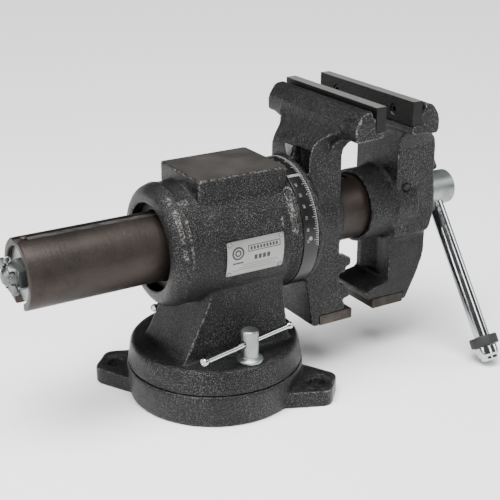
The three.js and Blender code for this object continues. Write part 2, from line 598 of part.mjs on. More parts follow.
// Steel pads let into the feet of the pipe jaws, each with one screw from below.
const PAD_L = 38.8;
const STATIC_PAD_X = PAD_X0 + PAD_L / 2;
function pipePad(x0, half) {
  const solid = sideSlab([[x0, PIPE_FOOT, 1.2], [x0 + PAD_L, PIPE_FOOT, 1.2],
    [x0 + PAD_L, PIPE_FOOT + PAD_H, 1.2], [x0, PIPE_FOOT + PAD_H, 1.2]], -half, half);
  const centre = [x0 + PAD_L / 2, 0, 0];
  return cut(solid, rod(3 + GAP, PIPE_FOOT - 1, PIPE_FOOT + 30, 'z', centre, SMALL),
    rod(SCREW_HEAD_R + GAP, PIPE_FOOT - 1, PIPE_FOOT + SCREW_HEAD_DEEP + GAP, 'z', centre, SMALL));
}
function padScrewHole(x) {
  return rod(3 + GAP, PIPE_FOOT - 1, PIPE_FOOT + PAD_H + 13, 'z', [x, 0, 0], SMALL);
}
function padScrew(x) {
  const centre = [x, 0, 0];
  const head = rod(SCREW_HEAD_R, PIPE_FOOT + 0.8, PIPE_FOOT + SCREW_HEAD_DEEP, 'z', centre, SMALL);
  const socket = hexPrism(5, PIPE_FOOT, PIPE_FOOT + 3, 'z', centre);
  return cut(head, socket).add(
    rod(3, PIPE_FOOT + SCREW_HEAD_DEEP - 0.5, PIPE_FOOT + PAD_H + 10, 'z', centre, SMALL));
}

// ---------- moving jaw ----------
const MOVING_SEAT = MOVING_FACE + INSERT_T + GAP;
const NECK_X0 = 188;
const COLLAR_X0 = 157;
const JAW_BACK = 240.5;
const TUBE_X1 = COLLAR_X0 + TUBE_GRIP;
const MOVING_PAD_X0 = MOVING_FACE;
const MOVING_PAD_X = MOVING_PAD_X0 + PAD_L / 2;
function movingJaw() {
  const block = jawBlock(201.5, MOVING_SEAT, 244.5);
  const neckSide = sideSlab([[NECK_X0, AXIS_Z - 30], [232, AXIS_Z - 30, 6], [238.5, AXIS_Z - 6, 20],
    [235, AXIS_Z + 32], [235, 225, 8], [199, 256, 10], [199, 266], [MOVING_SEAT, 266],
    [MOVING_SEAT, 244], [NECK_X0, 236, 6]], -JAW_W / 2, JAW_W / 2);
  const neckFront = frontSlab(gussetOutline(MOVING_NECK_Y, 245, 62, AXIS_Z - 30), 150, 260);
  const neck = neckSide.intersect(neckFront);
  const shoulder = frontSlab([[-MOVING_LEG_Y, AXIS_Z - 36], [MOVING_LEG_Y, AXIS_Z - 36],
    [MOVING_NECK_Y, AXIS_Z - 28], [MOVING_NECK_Y, AXIS_Z], [-MOVING_NECK_Y, AXIS_Z],
    [-MOVING_NECK_Y, AXIS_Z - 28]], NECK_X0, 229);
  const foot = PIPE_FOOT + PAD_H + GAP;
  const padBack = MOVING_PAD_X0 + PAD_L + GAP;
  const legSide = sideSlab([[NECK_X0, AXIS_Z], [233, AXIS_Z], [233, 103, 8], [225, 81, 12],
    [padBack + 3, PIPE_FOOT + 2.5, 3], [padBack, PIPE_FOOT + 1.5], [padBack, foot],
    [MOVING_FACE - 6, foot], [MOVING_FACE - 8.4, foot + 8, 2], [MOVING_FACE + 4, foot + 12.5, 2],
    [NECK_X0, foot + 15, 4]], -MOVING_LEG_Y, MOVING_LEG_Y);
  const groove = planSlab([[NECK_X0 - 0.5, -MOVING_LEG_Y + 6], [NECK_X0 + 6, 0],
    [NECK_X0 - 0.5, MOVING_LEG_Y - 6], [NECK_X0 - 9, MOVING_LEG_Y - 6],
    [NECK_X0 - 9, -MOVING_LEG_Y + 6]], foot + 18, AXIS_Z - 34);
  const leg = legSide.subtract(groove);
  const collar = turned([[0, COLLAR_X0], [BOSS_R - 1.6, COLLAR_X0], [BOSS_R - 0.6, COLLAR_X0 + 1],
    [BOSS_R - 0.6, NECK_X0 - 3], [BOSS_R + 1.4, NECK_X0 + 0.5], [BOSS_R + 1.4, 214], [0, 214]],
  'x', onSpindle, SEG);
  const backBoss = turned([[0, 225], [27, 225], [26, JAW_BACK - 1.5], [24.5, JAW_BACK], [0, JAW_BACK]],
    'x', onSpindle, MID);
  let solid = join(block, neck, shoulder, leg, collar, backBoss);
  solid = cut(solid,
    rod(TUBE_R + GAP, COLLAR_X0 - 1, TUBE_X1 + GAP, 'x', onSpindle, SEG),
    rod(SPINDLE_R + RUN, COLLAR_X0 - 1, JAW_BACK + 1, 'x', onSpindle, MID),
    rod(4 + GAP, -60, 60, 'y', [TUBE_PIN_X, 0, AXIS_Z + TUBE_PIN_UP], SMALL));
  for (const y of INSERT_SCREW_Y) {
    const centre = [0, y, INSERT_SCREW_Z];
    solid = solid.subtract(rod(3 + GAP, MOVING_SEAT - 1, MOVING_SEAT + 13, 'x', centre, SMALL));
  }
  return solid.subtract(padScrewHole(MOVING_PAD_X));
}

function slideTube() {
  const inner = TUBE_R - TUBE_WALL;
  const wall = WASHER_X0 + WASHER_T + GAP; // bearing wall that the rear washer runs against
  const eye = SPINDLE_R + RUN;
  const solid = turned([[inner, TUBE_X0 + 1], [inner + 1, TUBE_X0], [TUBE_R - 1.2, TUBE_X0],
    [TUBE_R, TUBE_X0 + 1.2], [TUBE_R, TUBE_X1], [inner, TUBE_X1], [inner, wall + WALL_T],
    [eye, wall + WALL_T], [eye, wall], [inner, wall], [inner, TUBE_X0 + 1]],
  'x', onSpindle, SEG);
  const keyway = box(TUBE_X0 - 1, COLLAR_X0 - 8, -KEY_W / 2, KEY_W / 2, AXIS_Z + TUBE_R - KEY_DEEP,
    AXIS_Z + TUBE_R + 1);
  const slotTop = AXIS_Z - TUBE_R + TUBE_WALL + 3;
  const slot = box(TUBE_X0 - 1, COLLAR_X0 - 8, -SLOT_W / 2, SLOT_W / 2, AXIS_Z - TUBE_R - 1, slotTop);
  const stopHole = rod(2.5 + GAP, AXIS_Z, AXIS_Z + TUBE_R, 'z', [STOP_X, 0, 0], SMALL);
  const pinHole = rod(4 + GAP, -60, 60, 'y', [TUBE_PIN_X, 0, AXIS_Z + TUBE_PIN_UP], SMALL);
  return cut(solid, keyway, slot, stopHole, pinHole);
}

const STOP_X = TUBE_X0 + 8;
function stopScrew() {
  const top = AXIS_Z + TUBE_R;
  return turned([[0, top - TUBE_WALL + 1], [2.5, top - TUBE_WALL + 1], [2.5, top - KEY_DEEP + GAP],
    [4, top - KEY_DEEP + GAP], [4, top + 0.6], [2.8, top + 1.8], [0, top + 1.8]],
  'z', [STOP_X, 0, 0], SMALL);
}

const TUBE_PIN_X = 200;
const TUBE_PIN_UP = 21;
function tubePin() {
  return rod(4, -MOVING_NECK_Y - 0.8, MOVING_NECK_Y + 0.8, 'y', [TUBE_PIN_X, 0, AXIS_Z + TUBE_PIN_UP], SMALL);
}

// ---------- rear end of the tube: washer, castle nut and cotter pin ----------
const WASHER_X0 = TUBE_X0 + 4;
const WASHER_T = 5;
const WALL_T = 7;
const NUT_H = 13.5;
const CROWN_L = 6;
const SPINDLE_TAIL_R = SPINDLE_R - 2.5;
const NUT_WALL = 3.5;
function rearWasher() {
  const outer = TUBE_R - TUBE_WALL - GAP;
  return ring(SPINDLE_TAIL_R + RUN, outer, WASHER_X0, WASHER_X0 + WASHER_T, 'x', onSpindle, MID);
}
function castleNut() {
  const x1 = WASHER_X0 - GAP;
  const x0 = x1 - NUT_H;
  let solid = hexPrism(2 * (SPINDLE_TAIL_R + NUT_WALL), x0 + CROWN_L, x1, 'x', onSpindle);
  solid = solid.add(rod(SPINDLE_TAIL_R + NUT_WALL - 1, x0, x0 + CROWN_L + 0.5, 'x', onSpindle, MID));
  for (const angle of [0, 60, 120]) {
    const groove = box(x0 - 1, x0 + CROWN_L - 1.2, -2.2, 2.2, -20, 20);
    solid = solid.subtract(groove.rotate([angle, 0, 0]).translate(onSpindle));
  }
  return solid.subtract(rod(SPINDLE_TAIL_R + GAP, x0 - 1, x1 + 1, 'x', onSpindle, MID));
}
const COTTER_X = WASHER_X0 - GAP - NUT_H + 2.4;
function cotterPin() {
  const reach = SPINDLE_TAIL_R + 3.3;
  const pin = rod(1.5, -reach, reach, 'z', [COTTER_X, 0, AXIS_Z], SMALL);
  const leg = box(COTTER_X - 1.3, COTTER_X + 3, -1.5, 1.5, AXIS_Z - reach - 2.6, AXIS_Z - reach);
  const eye = rod(3.2, -1.5, 1.5, 'y', [COTTER_X, 0, AXIS_Z + reach + 2.6], SMALL);
  const eyeHole = rod(1.6, -2, 2, 'y', [COTTER_X, 0, AXIS_Z + reach + 2.8], SMALL);
  return cut(join(pin, leg, eye), eyeHole);
}

// ---------- spindle ----------
const THRUST_T = 2.6;
function spindle() {
  const head = JAW_BACK + THRUST_T + 2 * GAP;
  const tail = WASHER_X0 + WASHER_T;
  const solid = turned([[0, TUBE_X0 - 14], [SPINDLE_TAIL_R - 4, TUBE_X0 - 13],
    [SPINDLE_TAIL_R - 1, TUBE_X0 - 9.5], [SPINDLE_TAIL_R - 0.4, COTTER_X - 2.4],
    [SPINDLE_TAIL_R, COTTER_X], [SPINDLE_TAIL_R, tail], [SPINDLE_TAIL_R, tail + GAP],
    [SPINDLE_R, tail + GAP], [SPINDLE_R, head], [HEAD_R + 0.6, head],
    [HEAD_R + 0.6, head + 4], [HEAD_R, head + 5], [HEAD_R, HEAD_X1 - 1.6], [HEAD_R - 1.8, HEAD_X1],
    [0, HEAD_X1]], 'x', onSpindle, MID);
  const cross = rod(HANDLE_R + RUN, -40, 40, 'z', [0, 0, 0], MID)
    .rotate([HANDLE_TILT, 0, 0]).translate([HANDLE_X, 0, AXIS_Z]);
  const cotter = rod(1.5 + GAP, -20, 20, 'z', [COTTER_X, 0, AXIS_Z], SMALL);
  return cut(solid, cross, cotter);
}
const HANDLE_TILT = -HANDLE_LEAN;
function thrustWasher() {
  return ring(SPINDLE_R + RUN, 22, JAW_BACK + GAP, JAW_BACK + GAP + THRUST_T, 'x', onSpindle, MID);
}

// ---------- handle, built upright and then leaned ----------
const CAP_L = 15;
const RING_L = 10.5;
const RING_R = HANDLE_R + 6.4;
const CAP_NECK_R = HANDLE_R + 3.2;
const CAP_TIP_R = HANDLE_R;
const LOWER_END = -HANDLE_REACH;
const UPPER_END = HEAD_R + GAP + 0.6 + RING_L + CAP_L;
const leaned = (solid) => solid.rotate([HANDLE_TILT, 0, 0]).translate([HANDLE_X, 0, AXIS_Z]);
function handleRod() {
  const stub = 9; // length that the caps screw on to
  return leaned(turned([[0, LOWER_END + CAP_L - stub], [5, LOWER_END + CAP_L - stub],
    [5, LOWER_END + CAP_L + GAP], [HANDLE_R, LOWER_END + CAP_L + GAP],
    [HANDLE_R, UPPER_END - CAP_L - GAP], [5, UPPER_END - CAP_L - GAP],
    [5, UPPER_END - CAP_L + stub], [0, UPPER_END - CAP_L + stub]], 'z', [0, 0, 0], MID));
}
function handleCap(direction) {
  const end = direction > 0 ? UPPER_END : LOWER_END;
  const at = (inward) => end - direction * inward;
  return leaned(turned([[0, at(0)], [CAP_TIP_R, at(0)], [CAP_TIP_R + 1.2, at(1)],
    [CAP_NECK_R, at(8)], [CAP_NECK_R, at(CAP_L)], [5 + GAP, at(CAP_L)],
    [5 + GAP, at(CAP_L - 9 - GAP)], [0, at(CAP_L - 9 - GAP)]], 'z', [0, 0, 0], MID));
}
function handleRing(direction) {
  const end = direction > 0 ? UPPER_END : LOWER_END;
  const [a, b] = [end - direction * (CAP_L + GAP), end - direction * (CAP_L + RING_L)]
    .sort((p, q) => p - q);
  const r = HANDLE_R + GAP;
  return leaned(turned([[r, a], [RING_R - 1, a], [RING_R, a + 1], [RING_R, b - 1], [RING_R - 1, b],
    [r, b], [r, a]], 'z', [0, 0, 0], MID));
}

// ---------- assembly ----------
piece('swivel_base', swivelBase(), 'hammertone');
piece('swivel_pin', swivelPin(), 'ground_steel');

piece('body_casting', bodyCasting(), 'hammertone');
piece('dial_band', dialBand(), 'gloss_black');
piece('nameplate', nameplate(), 'aluminium');
rivetPlaces().forEach((place, i) => piece(`nameplate_rivet_${i + 1}`, rivet(place), 'aluminium'));
piece('brake_shoe', brakeShoe(), 'bronze');
piece('head_lock_screw', headLockScrew(), 'chrome');
piece('head_lock_bar', headLockBar(), 'chrome');

for (const [side, bar, place] of [['near', NEAR_BAR, (solid) => solid], ['far', FAR_BAR, opposite]]) {
  piece(`${side}_clamp_bolt`, place(clampBolt(bar)), 'chrome');
  piece(`${side}_clamp_bar`, place(clampBar(bar)), 'chrome');
  piece(`${side}_clamp_nut`, place(clampNut()), 'ground_steel');
}

piece('static_jaw', staticJaw(), 'hammertone');
piece('dial_pointer', dialPointer(), 'zinc');
piece('neck_ring', neckRing(), 'ground_steel');
piece('tube_key', tubeKey(), 'ground_steel');
piece('spindle_nut', spindleNut(), 'bronze');
piece('spindle_nut_bolt', nutBolt(), 'zinc');
piece('static_insert', insert(STATIC_FACE - INSERT_T, STATIC_FACE, 1), 'bright_steel');
piece('static_pipe_pad', pipePad(PAD_X0, NECK_Y), 'ground_steel');
piece('static_pad_screw', padScrew(STATIC_PAD_X), 'zinc');

piece('moving_jaw', movingJaw(), 'hammertone');
piece('slide_tube', slideTube(), 'ground_steel');
piece('tube_pin', tubePin(), 'ground_steel');
piece('stop_screw', stopScrew(), 'zinc');
piece('moving_insert', insert(MOVING_FACE, MOVING_FACE + INSERT_T, -1), 'bright_steel');
piece('moving_pipe_pad', pipePad(MOVING_PAD_X0, MOVING_LEG_Y), 'ground_steel');
piece('moving_pad_screw', padScrew(MOVING_PAD_X), 'zinc');
INSERT_SCREW_Y.forEach((y, i) => {
  piece(`static_insert_screw_${i + 1}`, insertScrew(STATIC_FACE, 1, y), 'zinc');
  piece(`moving_insert_screw_${i + 1}`, insertScrew(MOVING_FACE, -1, y), 'zinc');
});
piece('rear_washer', rearWasher(), 'zinc');

piece('spindle', spindle(), 'chrome');
piece('thrust_washer', thrustWasher(), 'zinc');
piece('castle_nut', castleNut(), 'zinc');
piece('cotter_pin', cotterPin(), 'zinc');

piece('handle_rod', handleRod(), 'chrome');
piece('handle_cap_upper', handleCap(1), 'chrome');
piece('handle_cap_lower', handleCap(-1), 'chrome');
piece('handle_ring_upper', handleRing(1), 'rubber');
piece('handle_ring_lower', handleRing(-1), 'rubber');

export default vise;
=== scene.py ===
import json
import math

import bmesh
import bpy
import numpy as np
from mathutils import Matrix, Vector


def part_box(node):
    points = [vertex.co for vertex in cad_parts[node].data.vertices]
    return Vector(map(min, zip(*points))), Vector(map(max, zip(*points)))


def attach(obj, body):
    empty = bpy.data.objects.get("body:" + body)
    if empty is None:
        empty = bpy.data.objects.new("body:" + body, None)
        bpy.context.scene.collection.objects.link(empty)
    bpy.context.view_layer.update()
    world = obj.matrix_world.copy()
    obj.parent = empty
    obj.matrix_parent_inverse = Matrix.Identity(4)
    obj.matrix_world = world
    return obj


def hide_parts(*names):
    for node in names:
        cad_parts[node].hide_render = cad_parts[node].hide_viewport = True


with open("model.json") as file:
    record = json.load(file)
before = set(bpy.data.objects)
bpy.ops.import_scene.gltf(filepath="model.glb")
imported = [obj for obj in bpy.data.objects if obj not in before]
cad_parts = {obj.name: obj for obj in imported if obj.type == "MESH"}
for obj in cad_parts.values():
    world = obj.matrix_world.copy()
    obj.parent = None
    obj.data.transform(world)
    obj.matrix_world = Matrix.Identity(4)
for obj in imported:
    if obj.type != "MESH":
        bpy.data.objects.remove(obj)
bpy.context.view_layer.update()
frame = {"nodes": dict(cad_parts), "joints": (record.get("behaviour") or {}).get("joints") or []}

# Rotating-head bench vise. Shapes are worked out in millimetres and scaled by MM for Blender. The
# camera, the lights and the finishes work in metres. +X runs along the spindle towards the handle.
MM = 0.001
NODES = frame["nodes"]
JOINTS = {joint["name"]: joint for joint in frame["joints"]}
AXIS_Z = JOINTS["head_rotate"]["pos_m"][2] / MM
ALONG_X = Vector((1, 0, 0))
UPRIGHT = Vector((0, 0, 1))


def span(node):
    """Lowest and highest corner of a node at rest, in millimetres."""
    low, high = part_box(node)
    return low / MM, high / MM


def placed(name, data):
    """A new object in the scene."""
    made = bpy.data.objects.new(name, data)
    bpy.context.scene.collection.objects.link(made)
    return made


def shape_of(made):
    """A new mesh of an object as it shows, with its modifiers applied."""
    graph = bpy.context.evaluated_depsgraph_get()
    return bpy.data.meshes.new_from_object(made.evaluated_get(graph))


# ---------------------------------------------------------------- camera, floor and light
def set_camera():
    data = bpy.data.cameras.new("camera")
    data.lens = 79.64
    data.sensor_width = 36
    camera = placed("camera", data)
    camera.location = (-0.47024, -0.84324, 0.52161)
    pitch, turn = math.radians(90 - 21.46), math.radians(-31.18)
    camera.rotation_euler = (pitch, 0, turn)
    bpy.context.scene.camera = camera


def soft_box(name, place, target, size, watts):
    data = bpy.data.lights.new(name, "AREA")
    data.shape = "RECTANGLE"
    data.size, data.size_y = size
    data.energy = watts
    lamp = placed(name, data)
    lamp.location = place
    lamp.rotation_euler = (Vector(target) - Vector(place)).to_track_quat("-Z", "Y").to_euler()


def set_stage():
    bpy.ops.mesh.primitive_plane_add(size=30)
    floor = bpy.context.object
    floor.name = "studio_floor"
    paper = Finish("studio_paper")
    paper.surface({"Base Color": (0.94, 0.94, 0.94, 1), "Roughness": 0.95})
    floor.data.materials.append(paper.material)

    world = bpy.data.worlds.new("studio")
    world.use_nodes = True
    background = world.node_tree.nodes["Background"]
    background.inputs["Color"].default_value = (1, 1, 1, 1)
    background.inputs["Strength"].default_value = 0.1
    bpy.context.scene.world = world

    middle = (0, 0, 0.15)
    soft_box("overhead_box", (-0.35, -0.25, 1.3), middle, (0.8, 0.7), 20)
    soft_box("left_box", (-1.3, -0.1, 0.75), middle, (0.6, 1.1), 15)
    soft_box("front_box", (0.1, -1.7, 1.0), middle, (0.5, 1.0), 9)
    soft_box("right_box", (1.6, -0.7, 0.9), middle, (0.5, 1.0), 9)
    sky = bpy.data.lights.new("ceiling_light", "SUN")
    sky.angle = math.radians(50)
    sky.energy = 5.0
    ceiling = placed("ceiling_light", sky)
    ceiling.rotation_euler = (math.radians(12), math.radians(-8), 0)


# ---------------------------------------------------------------- material maths
# places of sockets that share a name with another socket, or have none of their own
OBJECT_PLACE, MASK_AMOUNT = 3, 2
MIX_AMOUNT, MIX_FIRST, MIX_SECOND, MIX_COLOUR = 0, 6, 7, 2


class Value:
    """A socket of a material. Arithmetic on it adds Math nodes."""

    def __init__(self, finish, socket):
        self.finish = finish
        self.socket = socket

    def _math(self, operation, a, b):
        return self.finish.node("ShaderNodeMath", {"operation": operation}, {0: a, 1: b})

    def __add__(self, other):
        return self._math("ADD", self, other)

    def __mul__(self, other):
        return self._math("MULTIPLY", self, other)

    def __sub__(self, other):
        return self._math("SUBTRACT", self, other)

    def __rsub__(self, other):
        return self._math("SUBTRACT", other, self)

    __radd__ = __add__
    __rmul__ = __mul__

    def between(self, low, high):
        """0 below low, 1 above high, smooth in between."""
        settings = {"interpolation_type": "SMOOTHSTEP"}
        sockets = {"Value": self, "From Min": low, "From Max": high}
        return self.finish.node("ShaderNodeMapRange", settings, sockets)


class Finish:
    """One procedural material with a single Principled surface."""

    def __init__(self, name):
        self.material = bpy.data.materials.new(name)
        self.material.use_nodes = True
        self.tree = self.material.node_tree
        self.tree.nodes.clear()
        self.place = None

    def node(self, kind, settings=None, sockets=None, out=0):
        made = self.tree.nodes.new(kind)
        for key, value in (settings or {}).items():
            setattr(made, key, value)
        for key, value in (sockets or {}).items():
            if isinstance(value, Value):
                self.tree.links.new(value.socket, made.inputs[key])
            else:
                made.inputs[key].default_value = value
        return Value(self, made.outputs[out]) if made.outputs else None

    def point(self):
        if self.place is None:
            self.place = self.node("ShaderNodeTexCoord", out=OBJECT_PLACE)
        return self.place

    def stretched(self, x, y, z):
        return self.node("ShaderNodeMapping", None, {"Vector": self.point(), "Scale": (x, y, z)})

    def noise(self, scale, detail=2.0, rough=0.5, vector=None):
        sockets = {"Vector": vector or self.point(), "Scale": scale, "Detail": detail, "Roughness": rough}
        return self.node("ShaderNodeTexNoise", None, sockets)

    def mask(self, name):
        settings = {"attribute_name": name}
        return self.node("ShaderNodeAttribute", settings, out=MASK_AMOUNT)

    def blend(self, amount, first, second):
        """Colour `first` where amount is 0, `second` where it is 1."""
        first, second = (c if isinstance(c, Value) else (*c, 1) for c in (first, second))
        sockets = {MIX_AMOUNT: amount, MIX_FIRST: first, MIX_SECOND: second}
        return self.node("ShaderNodeMix", {"data_type": "RGBA"}, sockets, out=MIX_COLOUR)

    def relief(self, height, depth, strength=1.0):
        sockets = {"Height": height, "Distance": depth, "Strength": strength}
        return self.node("ShaderNodeBump", None, sockets)

    def surface(self, sockets):
        shader = self.node("ShaderNodeBsdfPrincipled", None, sockets)
        self.node("ShaderNodeOutputMaterial", None, {"Surface": shader})
        return self.material


# ---------------------------------------------------------------- finishes
def casting_enamel():
    """Charcoal hammertone enamel: small dimples that break up every highlight, lighter on scuffed edges,
    where the light colour is partly painted highlight, and on painted highlight streaks round the barrel
    rim.
    """
    f = Finish("casting_enamel")
    dimple = f.noise(1020, 1.5, 0.55)
    grain = f.noise(2100, 2.0)
    drift = f.noise(26, 3.0)
    chips = f.noise(430, 4.0, 0.7)
    # the mask holds scuffed convex edges, partly painted highlight, and painted highlight streaks on the
    # barrel rim
    wear_and_highlight = f.mask("edge_wear_and_highlight")
    fleck = dimple.between(0.53, 0.66)
    worn_and_highlit = wear_and_highlight.between(0.3, 0.8) * chips.between(0.46, 0.58) * grain.between(0.4, 0.55)
    shade = f.blend(drift.between(0.35, 0.7), (0.001, 0.001, 0.0011), (0.0028, 0.0028, 0.003))
    body = f.blend(fleck * (0.25 + drift * 0.9), shade, (0.095, 0.095, 0.0935))
    # light bare colour where the mask is on: scuffed paint and painted highlight
    colour = f.blend(worn_and_highlit * 0.75, body, (0.26, 0.25, 0.235))
    height = dimple + grain * 0.2
    rough = 0.26 + grain * 0.12 + worn_and_highlit * 0.14
    metal = fleck * 0.4 + worn_and_highlit * 0.3
    normal = f.relief(height, 0.0009, 1.0)
    return f.surface({"Base Color": colour, "Roughness": rough, "Normal": normal, "Metallic": metal,
                      "Specular IOR Level": 0.2})


def ground_iron():
    """Top of the anvil: milled cast iron, brown-grey, with faint cutter marks."""
    f = Finish("ground_iron")
    marks = f.noise(60, 2.0, vector=f.stretched(1, 26, 1))
    cloud = f.noise(14, 4.0)
    pits = f.noise(900, 1.0).between(0.62, 0.75)
    colour = f.blend(cloud.between(0.3, 0.75), (0.06, 0.055, 0.051), (0.15, 0.141, 0.135))
    colour = f.blend(pits * 0.5, colour, (0.12, 0.11, 0.1))
    rough = 0.38 + marks * 0.12 + cloud * 0.08
    return f.surface({"Base Color": colour, "Metallic": 0.85, "Roughness": rough,
                      "Normal": f.relief(marks * 0.6 + pits * -0.4, 0.00012, 0.5)})


def bored_iron():
    """Machined bores and seats in the castings, dark and oily, and near black as painted shade inside the
    bores and the barrel mouth.
    """
    f = Finish("bored_iron")
    rings = f.noise(90, 2.0, vector=f.stretched(14, 1, 1))
    colour = f.blend(rings, (0.006, 0.0056, 0.0053), (0.016, 0.015, 0.0145))
    return f.surface({"Base Color": colour, "Metallic": 0.7, "Roughness": 0.42 + rings * 0.1,
                      "Normal": f.relief(rings, 0.0001, 0.4)})


def tube_steel():
    """Slide tube: dark brown oiled steel, ground round and round, with cloudy oil stains."""
    f = Finish("tube_steel")
    rings = f.noise(60, 3.0, vector=f.stretched(9, 0.5, 0.5))
    cloud = f.noise(16, 5.0, 0.65)
    grit = f.noise(900, 2.0)
    stain = f.noise(7, 3.0)
    colour = f.blend(cloud.between(0.35, 0.65), (0.017, 0.0125, 0.0105), (0.042, 0.032, 0.0275))
    colour = f.blend(stain.between(0.45, 0.65) * 0.5, colour, (0.02, 0.0185, 0.0165))
    colour = f.blend(grit.between(0.5, 0.7) * 0.4, colour, (0.05, 0.044, 0.04))
    rough = 0.34 + grit * 0.14 + rings * 0.1
    return f.surface({"Base Color": colour, "Metallic": 0.75, "Roughness": rough, "Specular IOR Level": 0.4,
                      "Normal": f.relief(rings + grit * 0.5, 0.00022, 0.55)})


def keyway_steel():
    """Floor of the keyway: milled, grey, with cutter marks."""
    f = Finish("keyway_steel")
    marks = f.noise(120, 2.0, vector=f.stretched(1, 5, 1))
    colour = f.blend(marks.between(0.35, 0.65), (0.06, 0.058, 0.056), (0.17, 0.166, 0.162))
    return f.surface({"Base Color": colour, "Metallic": 0.85, "Roughness": 0.36 + marks * 0.1,
                      "Normal": f.relief(marks, 0.0002, 0.5)})


def insert_steel():
    """Jaw inserts: hardened steel, ground on top."""
    f = Finish("insert_steel")
    marks = f.noise(50, 2.0, vector=f.stretched(30, 1, 1))
    cloud = f.noise(35, 3.0)
    colour = f.blend(cloud, (0.24, 0.238, 0.233), (0.38, 0.377, 0.37))
    return f.surface({"Base Color": colour, "Metallic": 0.8, "Roughness": 0.34 + marks * 0.16,
                      "Normal": f.relief(marks, 0.00008, 0.4)})


def insert_dark():
    """Serrated faces and back of the inserts, blackened by hardening and darkened further as painted shade.
    """
    f = Finish("insert_dark")
    cloud = f.noise(120, 3.0)
    fine = f.noise(1600, 2.0)
    colour = f.blend(cloud, (0.006, 0.006, 0.0058), (0.02, 0.0195, 0.019))
    return f.surface({"Base Color": colour, "Metallic": 0.75, "Roughness": 0.4 + fine * 0.18,
                      "Normal": f.relief(fine, 0.00015, 0.4)})


def pad_steel():
    """Pipe jaw pads: bare brown-grey steel."""
    f = Finish("pad_steel")
    cloud = f.noise(60, 4.0)
    fine = f.noise(1300, 2.0)
    colour = f.blend(cloud.between(0.3, 0.7), (0.02, 0.0165, 0.0135), (0.055, 0.046, 0.039))
    return f.surface({"Base Color": colour, "Metallic": 0.7, "Roughness": 0.42 + fine * 0.15,
                      "Normal": f.relief(fine, 0.0002, 0.4)})


def chrome_plate():
    """Bright plating with very light scuffs."""
    f = Finish("chrome_plate")
    scuff = f.noise(260, 3.0, vector=f.stretched(1, 1, 0.3))
    cloud = f.noise(30, 2.0)
    colour = f.blend(cloud, (0.36, 0.38, 0.39), (0.5, 0.515, 0.525))
    rough = 0.13 + scuff.between(0.45, 0.8) * 0.1
    return f.surface({"Base Color": colour, "Metallic": 1.0, "Roughness": rough,
                      "Normal": f.relief(scuff, 0.00003, 0.3)})


def zinc_plate(name, dark, light):
    """Satin zinc with cloudy patches and turning marks, between two greys."""
    f = Finish(name)
    cloud = f.noise(45, 4.0)
    turn = f.noise(60, 2.0, vector=f.stretched(14, 0.5, 0.5))
    cool = (0.95, 1.02, 1.0)
    colour = f.blend(cloud.between(0.3, 0.7), [dark * c for c in cool], [light * c for c in cool])
    rough = 0.27 + cloud * 0.16 + turn * 0.06
    return f.surface({"Base Color": colour, "Metallic": 0.95, "Roughness": rough,
                      "Normal": f.relief(turn, 0.00006, 0.4)})


def ring_rubber():
    f = Finish("ring_rubber")
    fine = f.noise(900, 3.0)
    colour = f.blend(fine, (0.004, 0.004, 0.004), (0.01, 0.01, 0.0105))
    return f.surface({"Base Color": colour, "Roughness": 0.55 + fine * 0.2,
                      "Normal": f.relief(fine, 0.0002, 0.4)})


def dial_black():
    f = Finish("dial_black")
    smudge = f.noise(70, 3.0)
    colour = f.blend(smudge, (0.002, 0.002, 0.0022), (0.006, 0.006, 0.0063))
    return f.surface({"Base Color": colour, "Roughness": 0.22 + smudge * 0.2, "Specular IOR Level": 0.35,
                      "Normal": f.relief(smudge, 0.00005, 0.3)})


def dial_white():
    f = Finish("dial_white")
    chips = f.noise(700, 2.0).between(0.35, 0.6)
    colour = f.blend(chips, (0.09, 0.09, 0.087), (0.21, 0.21, 0.205))
    return f.surface({"Base Color": colour, "Roughness": 0.5 - chips * 0.1})


def plate_aluminium():
    """Brushed aluminium of the nameplate."""
    f = Finish("plate_aluminium")
    brushed = f.noise(300, 2.0, vector=f.stretched(0.12, 3, 3))
    cloud = f.noise(40, 2.0)
    colour = f.blend(cloud, (0.2, 0.2, 0.195), (0.3, 0.3, 0.295))
    return f.surface({"Base Color": colour, "Metallic": 0.75, "Roughness": 0.36 + brushed * 0.14,
                      "Normal": f.relief(brushed, 0.00004, 0.4)})


def plate_ink():
    f = Finish("plate_ink")
    fade = f.noise(500, 2.0)
    colour = f.blend(fade, (0.004, 0.004, 0.0045), (0.014, 0.014, 0.0145))
    return f.surface({"Base Color": colour, "Roughness": 0.45 + fade * 0.1})


def nut_bronze():
    f = Finish("nut_bronze")
    cloud = f.noise(60, 3.0)
    colour = f.blend(cloud, (0.3, 0.19, 0.08), (0.5, 0.34, 0.15))
    return f.surface({"Base Color": colour, "Metallic": 0.95, "Roughness": 0.32 + cloud * 0.15})


ENAMEL, ANVIL_IRON, BORE_IRON = casting_enamel(), ground_iron(), bored_iron()
TUBE, KEYWAY, INSERT, INSERT_DARK = tube_steel(), keyway_steel(), insert_steel(), insert_dark()
PAD, CHROME, RUBBER = pad_steel(), chrome_plate(), ring_rubber()
ZINC, ZINC_DULL = zinc_plate("zinc_plate", 0.18, 0.31), zinc_plate("zinc_dulled", 0.055, 0.13)
DIAL, DIAL_MARK, PLATE, INK, BRONZE = (dial_black(), dial_white(), plate_aluminium(), plate_ink(),
                                       nut_bronze())


# ---------------------------------------------------------------- mesh building
TOUCHING = 0.002


def join_touching(shell, gap=TOUCHING):
    bmesh.ops.remove_doubles(shell, verts=shell.verts, dist=gap * MM)


def raw(name, points, faces):
    """A new object from points in millimetres. Touching points are joined and faces turned outward."""
    mesh = bpy.data.meshes.new(name)
    mesh.from_pydata([tuple(Vector(p) * MM) for p in points], [], faces)
    made = placed(name, mesh)
    shell = bmesh.new()
    shell.from_mesh(mesh)
    join_touching(shell)
    bmesh.ops.recalc_face_normals(shell, faces=shell.faces)
    shell.to_mesh(mesh)
    shell.free()
    return made


